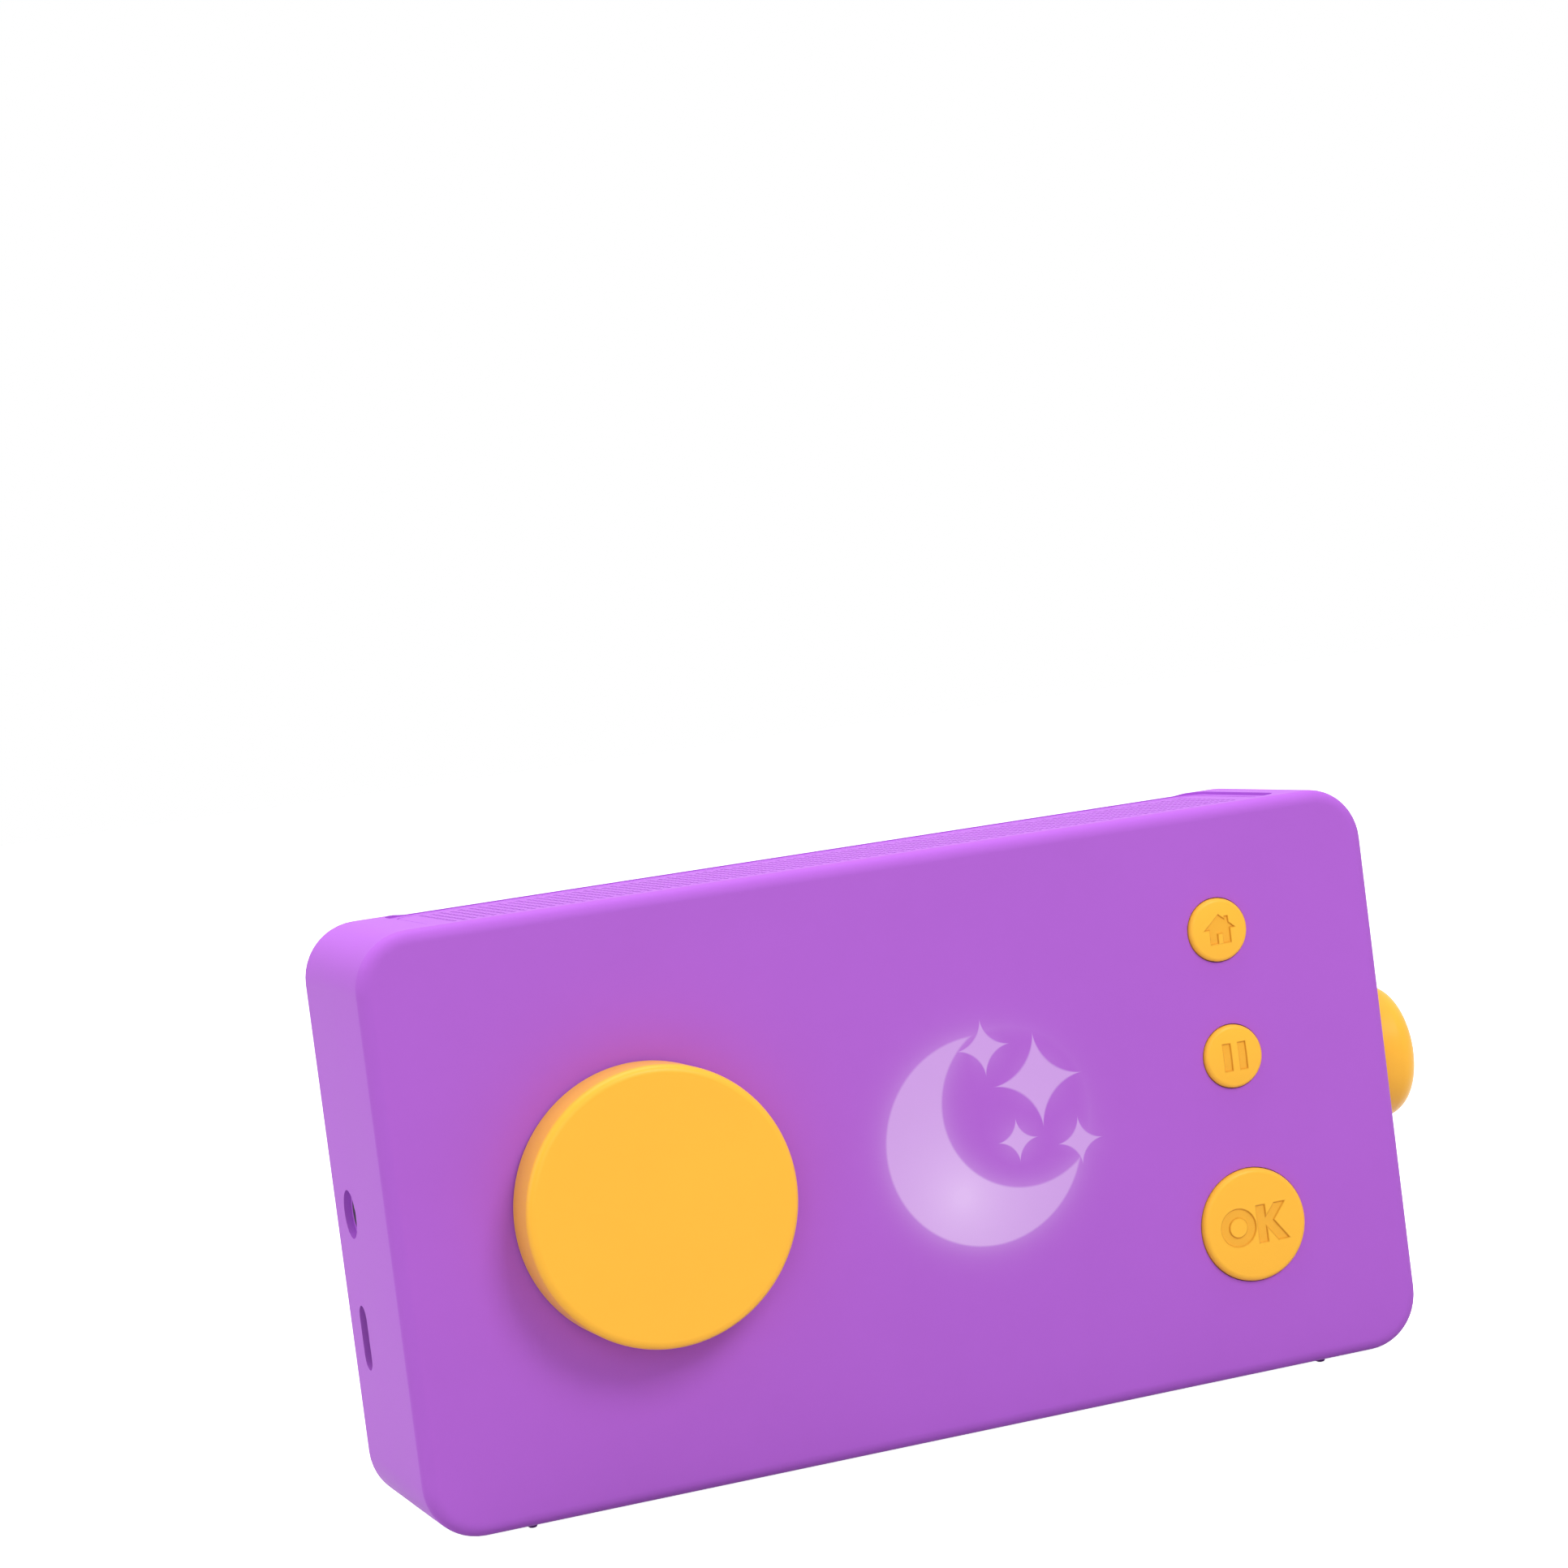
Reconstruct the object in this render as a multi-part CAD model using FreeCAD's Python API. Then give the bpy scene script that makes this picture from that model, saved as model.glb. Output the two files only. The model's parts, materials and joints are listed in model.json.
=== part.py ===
"""Audio story player: a moulded case with a big selector dial, three push
buttons, a volume knob, a glowing window and a speaker that faces upwards.

Sizes are in millimetres. While it is built, the case stands with its front
face on y = 0, its middle on x = 0 and its underside on z = 0. At the end the
whole player is moved so that the origin is the bottom centre of its box.
"""
import FreeCAD, Part
import math
import os

V = FreeCAD.Vector

# Case
case_width = 185.0
case_height = 101.2
case_depth = 41.0
corner_radius = 9.7
front_edge_radius = 2.4
back_edge_radius = 2.1
side_wall = 3.0
front_wall = 2.6
rib_thickness = 1.4

# Rear cover and its screws
cover_thickness = 2.4
cover_recess = 0.2
cover_clearance = 0.15
cover_edge_break = 0.4
cover_head_clearance = 0.4
cover_rib_height = 1.6
cover_rib_inset = 18.5
cover_rib_low = 11.0
cover_rib_spacing = 12.0
cover_screw_inset = 8.7
cover_top_screw_x = 34.0
cover_top_screw_drop = 3.0
cover_bottom_screw_x = 42.0
cover_cup_depth = 2.2
cover_cup_wall = 1.7
cover_post_radius = 3.6
cover_head_radius = 2.9
cover_head_height = 2.0
cover_screw_radius = 1.45
cover_screw_length = 10.0
cover_seat_thickness = 1.6
stop_rib_reach = 2.2
stop_rib_length = 9.0
stop_rib_places_x = (-58.0, 18.0, 68.0)
stop_rib_places_z = (20.0, 78.0)
post_web_setback = 2.0
rib_root = 0.5

# Fits
screw_clearance = 0.03
hole_clearance = 0.15
shaft_clearance = 0.05
press_clearance = 0.03
seat_gap = 0.1
washer_clearance = 0.1
hub_clearance = 0.4
past = 1.0
screw_bevel_share = 0.4
screw_tip_share = 1.2
screw_point_share = 0.3
least_radius = 0.5

# Top recess and speaker grille
recess_left_margin = 14.5
recess_right_margin = 13.0
recess_front = 4.2
recess_back_margin = 1.0
recess_radius = 5.0
recess_depth = 0.5
grille_inset = 1.8
grille_back_inset = 2.6
grille_corner = 3.6
grille_thickness = 1.5
grille_ledge = 2.0
ledge_rim = 1.2
ledge_back_rim = 0.8
ledge_thickness = 2.0
cloth_thickness = 0.2
grille_hole_radius = 1.0
grille_pitch_x = 10.0
grille_pitch_y = 7.8
grille_margin = 4.2

# Speaker, facing up under the grille
speaker_x = 2.0
speaker_side_clearance = 1.9
speaker_flange_width = 2.4
speaker_flange_thickness = 1.0
speaker_sheet = 0.8
speaker_basket_depth = 7.0
speaker_basket_taper = 4.0
speaker_vent_radius = 4.0
speaker_ear_overhang = 1.4
speaker_ear_radius = 2.4
speaker_seat_rim = 0.6
speaker_magnet_radius = 10.0
speaker_magnet_height = 5.5
speaker_magnet_chamfer = 0.6
speaker_pole_radius = 3.4
speaker_pole_rise = 2.4
cone_edge_width = 1.6
cone_edge_rise = 0.2
cone_sheet = 0.6
cone_neck_radius = 4.4
cone_neck_height = 2.8
cone_cap_radius = 3.2
cone_cap_height = 4.0
cone_cap_dome = 0.6
terminal_width = 3.6
terminal_length = 3.2
terminal_height = 4.2
terminal_offset = 4.6
terminal_clearance = 1.6
gasket_thickness = 0.8
gasket_inset = 0.2
gasket_mouth = 0.4
speaker_screw_radius = 0.9
speaker_screw_length = 3.6
speaker_head_radius = 1.9
speaker_head_height = 1.3

# Selector dial and its encoder
dial_from_left = 44.2
dial_above_middle = -0.4
dial_radius = 23.6
dial_height = 9.6
dial_edge_radius = 2.0
dial_wall = 2.2
dial_gap = 0.5
dial_hub_radius = 5.4
dial_rib_count = 6
dial_rib_height = 4.0
well_radius = 9.0
well_depth = 5.0
well_wall = 2.4
shaft_radius = 3.0
shaft_flat = 1.5
bush_radius = 3.5
bush_length = 6.0
encoder_width = 12.4
encoder_height = 6.5
control_corner = 0.6
shaft_seat = 0.4
shaft_depth_share = 0.6
washer_radius = 6.0
washer_thickness = 0.5
nut_across_flats = 10.0
nut_thickness = 2.0

# Volume knob and its potentiometer
knob_y = 20.4
knob_above_middle = -0.4
knob_radius = 12.3
knob_height = 10.7
knob_edge_radius = 4.0
knob_wall = 2.2
knob_gap = 0.5
knob_hub_radius = 5.2
pot_radius = 8.0
pot_depth = 7.5
pot_bush_length = 7.0
knob_shaft_gap = 0.2
pot_terminal_width = 12.0
pot_terminal_drop = 4.0
pot_terminal_thickness = 1.6
pot_terminal_setback = 2.0
pot_terminal_lap = 2.0

# Push buttons: place, size and travel
buttons_from_right = 30.9
home_below_top = 21.8
pause_below_home = 22.5
ok_z = 26.8
small_button_radius = 5.6
ok_button_radius = 10.0
small_button_rise = 1.35
ok_button_rise = 1.2
button_edge_radius = 0.7
button_travel = 0.8
button_flange = 1.1
button_flange_thickness = 1.2
button_stem_radius = 2.2
button_wall = 1.6
button_face = 1.95
button_web_face = 1.75
button_web_inset = 1.2
collar_height = 3.6
collar_wall = 1.2
switch_width = 6.0
switch_height = 3.4
plunger_radius = 1.6
plunger_rise = 1.7
switch_corner = 0.5
switch_floor = 0.4

# Glowing window and the light behind it
window_before_buttons = 46.2
window_above_middle = 0.6
window_radius = 22.0
window_skin = 1.3
diffuser_thickness = 1.5
shroud_wall = 1.2
shroud_lip = 1.0
shroud_taper = 4.0
shroud_floor = 1.2
shroud_ring_wall = 1.4
shroud_ring_height = 2.4
diffuser_gap = 0.05
lamp_count = 6
lamp_ring_radius = 12.0
lamp_width = 3.5
lamp_height = 1.9
lamp_aspect = 0.8

# Main board
board_thickness = 1.6
board_left_margin = 24.5
board_right_margin = 13.5
board_low = 30.0
board_speaker_clearance = 6.2
tab_before_buttons = 15.6
tab_margin = 8.5
board_corner = 2.0
post_inset = 3.8
board_post_radius = 2.8
board_screw_radius = 1.0
board_screw_length = 7.0
board_head_radius = 2.3
board_head_height = 1.6
chip_thickness = 1.4
main_chip_width = 12.0
memory_chip_size = (9.0, 6.0)
amplifier_chip_width = 5.0
charger_chip_size = (6.0, 5.0)
main_chip_left = 30.0
memory_chip_above = 13.0
amplifier_chip_right = 10.0
amplifier_chip_below = 4.0
charger_chip_above = 12.0
socket_width = 7.5
socket_depth = 4.5
socket_height = 5.5
battery_socket_beyond = 14.0
battery_socket_above = 8.0
speaker_socket_beyond = 3.4
speaker_socket_below = 6.0
volume_socket_inset = 9.0
port_socket_inset = 5.0

# Headphone jack, charging socket and the small board that carries them
port_y = 28.4
jack_z = 52.6
jack_bore_radius = 1.8
jack_nose_radius = 2.95
jack_body_length = 12.0
jack_body_width = 6.4
jack_body_height = 5.2
jack_end_wall = 1.0
jack_recess_radius = 4.2
jack_recess_depth = 1.2
usb_z = 31.1
usb_slot_height = 11.2
usb_slot_width = 5.0
usb_slot_corner = 2.4
usb_height = 9.0
usb_width = 3.3
usb_length = 7.8
usb_setback = 1.5
usb_sheet = 0.35
usb_back_wall = 1.6
usb_roundness = 0.9
usb_tongue = 0.7
usb_tongue_inset = 0.8
port_board_thickness = 1.2
port_board_width = 17.3
port_board_margin = 4.0
port_post_inset = 3.6
port_socket_right = 15.6
port_socket_length = 4.6
port_socket_width = 4.8
port_socket_height = 4.4
port_lead_below = 2.4

# Battery, held to the rear cover by a strap
battery_radius = 9.2
battery_length = 65.0
battery_x = -20.0
battery_z = 20.5
battery_seat = 2.0
battery_cap_radius = 3.2
battery_cap_height = 1.2
saddle_thickness = 2.4
saddle_spacing = 44.0
strap_thickness = 1.0
strap_width = 11.0
strap_ear = 6.4
strap_post_radius = 2.8
strap_seat_behind_axis = 5.8
strap_ear_corner = 2.0
strap_screw_length = 5.0
strap_head_height = 1.2

# Leads
lead_radius = 0.8
lead_bend_share = 0.45

# Rubber foot strips
foot_inset = 18.5
foot_front = 4.2
foot_length = 32.0
foot_width = 1.6
foot_rise = 1.0
foot_root_width = 3.0
foot_root_depth = 1.4
foot_edge_radius = 0.4
foot_edge_limit = 0.6
foot_groove_clearance = 0.05

# Places that follow from the sizes above
half_width = case_width / 2
inner_x = half_width - side_wall
inner_top = case_height - side_wall
dial_x = -half_width + dial_from_left
button_x = half_width - buttons_from_right
window_x = button_x - window_before_buttons
board_left = -inner_x + board_left_margin
board_right = inner_x - board_right_margin
tab_left = button_x - tab_before_buttons
recess_left = -half_width + recess_left_margin
recess_right = half_width - recess_right_margin
foot_x = half_width - foot_inset
cover_rib_end_x = half_width - cover_rib_inset
cover_outer_y = case_depth - cover_recess
cover_inner_y = cover_outer_y - cover_thickness
post_top_y = cover_inner_y - cover_cup_depth
well_floor_y = well_depth + front_wall
board_y = well_floor_y + encoder_height
board_back_y = board_y + board_thickness
socket_back_y = board_back_y + socket_height
dial_z = case_height / 2 + dial_above_middle
knob_z = case_height / 2 + knob_above_middle
window_z = case_height / 2 + window_above_middle
home_z = case_height - home_below_top
pause_z = home_z - pause_below_home
recess_back = case_depth - recess_back_margin
recess_floor = case_height - recess_depth
grille_left = recess_left + grille_inset
grille_right = recess_right - grille_inset
grille_front = recess_front + grille_inset
grille_back = recess_back - grille_back_inset
grille_bottom = recess_floor - grille_thickness
pocket_floor = grille_bottom - cloth_thickness
ledge_bottom = pocket_floor - ledge_thickness
speaker_y = (front_wall + cover_inner_y) / 2
speaker_flange_radius = (cover_inner_y - front_wall) / 2 - speaker_side_clearance
speaker_cone_radius = speaker_flange_radius - speaker_flange_width
speaker_back_radius = speaker_cone_radius - speaker_basket_taper
speaker_ear_reach = speaker_flange_radius + speaker_ear_overhang
flange_top = ledge_bottom - gasket_thickness
flange_bottom = flange_top - speaker_flange_thickness
basket_bottom = flange_bottom - speaker_basket_depth
board_high = basket_bottom - speaker_magnet_height - board_speaker_clearance
port_board_y = port_y + jack_body_height / 2
usb_y = port_board_y - usb_width / 2 - seat_gap
tab_high = home_z + tab_margin
tab_low = ok_z - tab_margin
battery_y = cover_inner_y - battery_seat - battery_radius
strap_seat_y = battery_y + strap_seat_behind_axis
BUTTONS = {
    "home": (home_z, small_button_radius, small_button_rise),
    "pause": (pause_z, small_button_radius, small_button_rise),
    "ok": (ok_z, ok_button_radius, ok_button_rise),
}


def rounded_face(low_u, high_u, low_v, high_v, radius, at):
    """A rectangle with round corners; at(u, v) gives the place in space."""
    radius = max(0.0, min(radius, (high_u - low_u) / 2 - 0.01, (high_v - low_v) / 2 - 0.01))
    if radius == 0.0:
        ring = [at(low_u, low_v), at(high_u, low_v), at(high_u, high_v), at(low_u, high_v)]
        return Part.Face(Part.makePolygon(ring + ring[:1]))
    middle = radius * (1 - math.sqrt(0.5))
    corners = [
        (low_u, low_v, 1, 1), (high_u, low_v, -1, 1), (high_u, high_v, -1, -1), (low_u, high_v, 1, -1),
    ]
    arcs = []
    for index, (u, v, toward_u, toward_v) in enumerate(corners):
        side = at(u, v + toward_v * radius)
        base = at(u + toward_u * radius, v)
        through = at(u + toward_u * middle, v + toward_v * middle)
        first, last = (side, base) if index % 2 == 0 else (base, side)
        arcs.append((first, through, last))
    edges = []
    for index, (first, through, last) in enumerate(arcs):
        following = arcs[(index + 1) % 4][0]
        edges.append(Part.Arc(first, through, last).toShape())
        if (following - last).Length > 1e-6:
            edges.append(Part.LineSegment(last, following).toShape())
    return Part.Face(Part.Wire(edges))


def slab_x(y0, y1, z0, z1, radius, x0, x1):
    """A plate with round corners that is extruded along x."""
    return rounded_face(y0, y1, z0, z1, radius, lambda u, v: V(x0, u, v)).extrude(V(x1 - x0, 0, 0))


def slab_y(x0, x1, z0, z1, radius, y0, y1):
    """A plate with round corners that is extruded along y."""
    return rounded_face(x0, x1, z0, z1, radius, lambda u, v: V(u, y0, v)).extrude(V(0, y1 - y0, 0))


def slab_z(x0, x1, y0, y1, radius, z0, z1):
    """A plate with round corners that is extruded along z."""
    return rounded_face(x0, x1, y0, y1, radius, lambda u, v: V(u, v, z0)).extrude(V(0, 0, z1 - z0))


def block_y(x, z, width, height, y0, y1, radius=0.0):
    """A block around a centre line along y."""
    return slab_y(x - width / 2, x + width / 2, z - height / 2, z + height / 2, radius, y0, y1)


def rod_x(y, z, radius, x0, x1):
    return Part.makeCylinder(radius, x1 - x0, V(x0, y, z), V(1, 0, 0))


def rod_y(x, z, radius, y0, y1):
    return Part.makeCylinder(radius, y1 - y0, V(x, y0, z), V(0, 1, 0))


def rod_z(x, y, radius, z0, z1):
    return Part.makeCylinder(radius, z1 - z0, V(x, y, z0), V(0, 0, 1))


def ring_y(x, z, outer, inner, y0, y1):
    return rod_y(x, z, outer, y0, y1).cut(rod_y(x, z, inner, y0 - past, y1 + past))


def joined(pieces):
    """Fuses a list of shapes into one and merges faces that run on."""
    return pieces[0].multiFuse(pieces[1:]).removeSplitter()


def without(shape, tools):
    """Cuts a list of shapes out of one shape."""
    return shape.cut(tools)


def group(solids):
    """Separate solids that share one node."""
    return Part.makeCompound(solids)


def rounded_at(shape, radius, axis, level):
    """Rounds each edge that lies wholly in the plane where axis = level."""
    picked = []
    for edge in shape.Edges:
        box = edge.BoundBox
        low, high = {"x": (box.XMin, box.XMax), "y": (box.YMin, box.YMax), "z": (box.ZMin, box.ZMax)}[axis]
        if abs(low - level) < 1e-4 and abs(high - level) < 1e-4:
            picked.append(edge)
    return shape.makeFillet(radius, picked)


def turned_z(profile, x, y):
    """A closed profile of (radius, height) points, turned about a line along z."""
    ring = [V(x + radius, y, height) for radius, height in profile]
    return Part.Face(Part.makePolygon(ring + ring[:1])).revolve(V(x, y, 0), V(0, 0, 1), 360)


def screw(head_radius, head_height, shank_radius, length, head_at, direction):
    """A pan-head screw with a pointed tip; its head's seat is at head_at."""
    bevel = head_height * screw_bevel_share
    tip = shank_radius * screw_tip_share
    solid = turned_z([
        (0, -head_height), (head_radius - bevel, -head_height), (head_radius, bevel - head_height),
        (head_radius, 0), (shank_radius, 0), (shank_radius, length - tip),
        (shank_radius * screw_point_share, length), (0, length),
    ], 0, 0)
    solid.Placement = FreeCAD.Placement(head_at, FreeCAD.Rotation(V(0, 0, 1), direction))
    return solid


def lead(points):
    """A round lead: straight runs joined by bends as wide as the runs allow."""
    edges = []
    start = points[0]
    for before, corner, after in zip(points, points[1:], points[2:]):
        run_in = corner - before
        run_out = after - corner
        half_turn = run_in.getAngle(run_out) / 2
        trim = lead_bend_share * min(run_in.Length, run_out.Length)
        radius = trim / math.tan(half_turn)
        into = V(run_in).normalize()
        out = V(run_out).normalize()
        inward = (out - into).normalize()
        bend_start = corner - into * trim
        bend_end = corner + out * trim
        bend_middle = corner + inward * (radius / math.cos(half_turn) - radius)
        edges.append(Part.LineSegment(start, bend_start).toShape())
        edges.append(Part.Arc(bend_start, bend_middle, bend_end).toShape())
        start = bend_end
    edges.append(Part.LineSegment(start, points[-1]).toShape())
    section = Part.Wire(Part.makeCircle(lead_radius, points[0], points[1] - points[0]))
    return Part.Wire(edges).makePipeShell([section], True, False)


def cover_screw_places():
    """Six screws: one in each corner, one near the top and one near the bottom."""
    x = half_width - cover_screw_inset
    low = cover_screw_inset
    high = case_height - cover_screw_inset
    return [
        (-x, low), (x, low), (-x, high), (x, high),
        (cover_bottom_screw_x, low), (cover_top_screw_x, high - cover_top_screw_drop),
    ]


def board_post_places():
    """Four posts on the wide part of the main board and two on its right edge."""
    left = board_left + post_inset
    right = tab_left - post_inset
    tab_right = board_right - post_inset
    low = board_low + post_inset
    high = board_high - post_inset
    return [
        (left, low), (left, high), (right, low), (right, high),
        (tab_right, (ok_z + pause_z) / 2), (tab_right, tab_high - post_inset),
    ]


def port_board_edges():
    left = -inner_x + seat_gap
    low = usb_z - usb_height / 2 - port_board_margin
    high = jack_z + jack_body_width / 2 + board_post_radius + 2 * seat_gap + port_post_inset
    return left, left + port_board_width, low, high


def port_post_places():
    left, right, low, high = port_board_edges()
    x = right - port_post_inset
    return [(x, low + port_post_inset), (x, high - port_post_inset)]


def strap_screw_places():
    reach = battery_radius + strap_thickness + strap_ear / 2
    return [(battery_x, battery_z - reach), (battery_x, battery_z + reach)]


def speaker_ear_places():
    reach = speaker_ear_reach / math.sqrt(2)
    return [(speaker_x + i * reach, speaker_y + j * reach) for i in (-1, 1) for j in (-1, 1)]


def case_outer():
    """The outside of the case: round corners, then both rims rounded."""
    outer = slab_y(-half_width, half_width, 0, case_height, corner_radius, 0, case_depth)
    outer = rounded_at(outer, front_edge_radius, "y", 0)
    return rounded_at(outer, back_edge_radius, "y", case_depth)


def case_inner():
    inner_radius = max(least_radius, corner_radius - side_wall)
    return slab_y(-inner_x, inner_x, side_wall, inner_top, inner_radius, front_wall, case_depth + past)


def cover_posts():
    """Long posts from the front wall to the cover, webbed to the walls near them."""
    pieces = []
    for x, z in cover_screw_places():
        pieces.append(rod_y(x, z, cover_post_radius, front_wall - rib_root, post_top_y))
        web_end = post_top_y - post_web_setback
        to_wall = -side_wall / 2 if z < case_height / 2 else case_height + side_wall / 2
        low, high = sorted((z, to_wall + math.copysign(side_wall, z - to_wall)))
        half = rib_thickness / 2
        pieces.append(slab_y(x - half, x + half, low, high, 0, front_wall - rib_root, web_end))
        if abs(x) > case_width / 4:
            side = math.copysign(half_width - side_wall / 2, x)
            low, high = sorted((x, side))
            pieces.append(slab_y(low, high, z - half, z + half, 0, front_wall - rib_root, web_end))
    return pieces


def board_posts():
    return [rod_y(x, z, board_post_radius, front_wall - rib_root, board_y) for x, z in board_post_places()]


def port_posts():
    """Two towers for the port board, each webbed to the left wall."""
    pieces = []
    for x, z in port_post_places():
        pieces.append(rod_y(x, z, board_post_radius, front_wall - rib_root, port_board_y))
        web_end = port_board_y - jack_body_height
        half = rib_thickness / 2
        wall = side_wall / 2 - half_width
        pieces.append(slab_y(wall, x, z - half, z + half, 0, front_wall - rib_root, web_end))
    return pieces


def button_collars():
    """Guide collars behind the front wall, one round each button's flange."""
    pieces = []
    for z, radius, rise in BUTTONS.values():
        inner = radius + button_flange + 2 * hole_clearance
        outer = inner + collar_wall
        pieces.append(ring_y(button_x, z, outer, inner, front_wall - rib_root, front_wall + collar_height))
    return pieces


def stop_ribs():
    """Short ribs on the walls that the rear cover rests on between its screws."""
    pieces = []
    back = cover_inner_y
    front = back - stop_rib_length
    half = rib_thickness / 2
    for x in stop_rib_places_x:
        pieces.append(slab_y(x - half, x + half, side_wall / 2, side_wall + stop_rib_reach, 0, front, back))
    for z in stop_rib_places_z:
        for side in (-1, 1):
            low, high = sorted((side * (inner_x + side_wall / 2), side * (inner_x - stop_rib_reach)))
            pieces.append(slab_y(low, high, z - half, z + half, 0, front, back))
    return pieces


def grille_ledge_ring():
    """The frame under the top wall that carries the grille, cloth and speaker."""
    back = min(grille_back + ledge_back_rim, cover_inner_y - seat_gap)
    frame = slab_z(
        grille_left - ledge_rim, grille_right + ledge_rim, front_wall - rib_root, back,
        grille_corner - grille_ledge, ledge_bottom, inner_top + rib_root,
    )
    opening = slab_z(
        grille_left + grille_ledge, grille_right - grille_ledge,
        grille_front + grille_ledge, grille_back - grille_ledge,
        grille_corner - grille_ledge, ledge_bottom - past, case_height + past,
    )
    rim = speaker_seat_rim
    seat = [rod_z(speaker_x, speaker_y, speaker_flange_radius + rim, ledge_bottom, pocket_floor)]
    seat += [rod_z(x, y, speaker_ear_radius + rim, ledge_bottom, pocket_floor)
             for x, y in speaker_ear_places()]
    mouth = rod_z(speaker_x, speaker_y, speaker_cone_radius + rim, ledge_bottom - past, case_height + past)
    return frame, opening, seat, mouth


def case_cuts():
    """Every hole and pocket of the case."""
    above = case_height + past
    tools = [
        slab_z(recess_left, recess_right, recess_front, recess_back, recess_radius, recess_floor, above),
        slab_z(grille_left, grille_right, grille_front, grille_back, grille_corner, pocket_floor, above),
        rod_y(dial_x, dial_z, well_radius, -past, well_depth),
        rod_y(dial_x, dial_z, bush_radius + hole_clearance, -past, well_floor_y + past),
        rod_y(window_x, window_z, window_radius, window_skin, front_wall + past),
        rod_x(knob_y, knob_z, bush_radius + hole_clearance, inner_x - past, half_width + past),
        rod_x(port_y, jack_z, jack_nose_radius + hole_clearance, -half_width - past, -inner_x + past),
        rod_x(port_y, jack_z, jack_recess_radius, -half_width - past, -half_width + jack_recess_depth),
        slab_x(
            usb_y - usb_slot_width / 2, usb_y + usb_slot_width / 2,
            usb_z - usb_slot_height / 2, usb_z + usb_slot_height / 2,
            usb_slot_corner, -half_width - past, -inner_x + past,
        ),
    ]
    for z, radius, rise in BUTTONS.values():
        tools.append(rod_y(button_x, z, radius + hole_clearance, -past, front_wall + past))
    for x, z in cover_screw_places():
        bottom = post_top_y - cover_screw_length
        tools.append(rod_y(x, z, cover_screw_radius + screw_clearance, bottom, post_top_y + past))
    for x, z in board_post_places():
        bottom = board_y - board_screw_length
        tools.append(rod_y(x, z, board_screw_radius + screw_clearance, bottom, board_y + past))
    for x, z in port_post_places():
        bottom = port_board_y - board_screw_length
        tools.append(rod_y(x, z, board_screw_radius + screw_clearance, bottom, port_board_y + past))
    for x, y in speaker_ear_places():
        bottom = ledge_bottom - past
        top = flange_bottom + speaker_screw_length + seat_gap
        tools.append(rod_z(x, y, speaker_screw_radius + screw_clearance, bottom, top))
    for side in (-1, 1):
        x = side * foot_x
        half = foot_root_width / 2
        back = foot_front + foot_length
        tools.append(slab_z(x - half, x + half, foot_front, back, half, -past, foot_root_depth))
    return tools


def front_case():
    frame, opening, seat, mouth = grille_ledge_ring()
    well = rod_y(dial_x, dial_z, well_radius + well_wall, front_wall - rib_root, well_floor_y)
    shroud_ring = ring_y(
        window_x, window_z, window_radius + shroud_wall + shroud_ring_wall,
        window_radius + shroud_wall + hole_clearance,
        front_wall - rib_root, front_wall + shroud_ring_height,
    )
    shell = case_outer().cut(case_inner())
    inside = cover_posts() + board_posts() + port_posts() + button_collars() + stop_ribs()
    shell = joined([shell, frame, well, shroud_ring] + inside)
    shell = without(shell, [opening])
    shell = joined([shell] + seat)
    shell = without(shell, [mouth] + case_cuts())
    return shell.common(case_outer()).removeSplitter()


def battery_saddles():
    """Ribs on the cover: two with a round seat for the battery and a stop at each end."""
    pieces = []
    thick = saddle_thickness / 2
    half = battery_radius + strap_thickness
    for side in (-1, 1):
        x = battery_x + side * saddle_spacing / 2
        pieces.append(slab_y(
            x - thick, x + thick, battery_z - half, battery_z + half,
            0, battery_y, cover_inner_y + rib_root,
        ))
        x = battery_x + side * (battery_length / 2 + battery_cap_height + seat_gap + thick)
        pieces.append(slab_y(
            x - thick, x + thick, battery_z - half / 2, battery_z + half / 2,
            0, battery_y + 2 * lead_radius, cover_inner_y + rib_root,
        ))
    for x, z in strap_screw_places():
        pieces.append(rod_y(x, z, strap_post_radius, strap_seat_y, cover_inner_y + rib_root))
    return pieces


def rear_cover():
    """The back plate: cupped screw seats, battery saddles and stiffening ribs."""
    gap = side_wall + cover_clearance
    radius = max(least_radius, corner_radius - gap)
    plate = slab_y(
        -half_width + gap, half_width - gap, gap, case_height - gap, radius, cover_inner_y, cover_outer_y,
    )
    plate = rounded_at(plate, cover_edge_break, "y", cover_outer_y)
    pieces = [plate] + battery_saddles()
    cup_inner = cover_head_radius + cover_head_clearance
    for x, z in cover_screw_places():
        pieces.append(rod_y(x, z, cup_inner + cover_cup_wall, post_top_y, cover_inner_y + rib_root))
    half = rib_thickness / 2
    rib_end = cover_rib_end_x
    rib_front = cover_inner_y - cover_rib_height
    for step in range(2):
        z = case_height / 2 + cover_rib_low + step * cover_rib_spacing
        pieces.append(slab_y(-rib_end, rib_end, z - half, z + half, 0, rib_front, cover_inner_y + rib_root))
    tools = []
    for x, z in cover_screw_places():
        tools.append(rod_y(x, z, cup_inner, post_top_y + cover_seat_thickness, case_depth + past))
        tools.append(rod_y(x, z, cover_screw_radius + hole_clearance, post_top_y - past, case_depth + past))
    tools.append(rod_x(
        battery_y, battery_z, battery_radius + seat_gap,
        battery_x - battery_length / 2 - seat_gap, battery_x + battery_length / 2 + seat_gap,
    ))
    for x, z in strap_screw_places():
        tools.append(rod_y(x, z, board_screw_radius + screw_clearance, battery_y, cover_inner_y - past / 2))
    return without(joined(pieces), tools)


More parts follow.
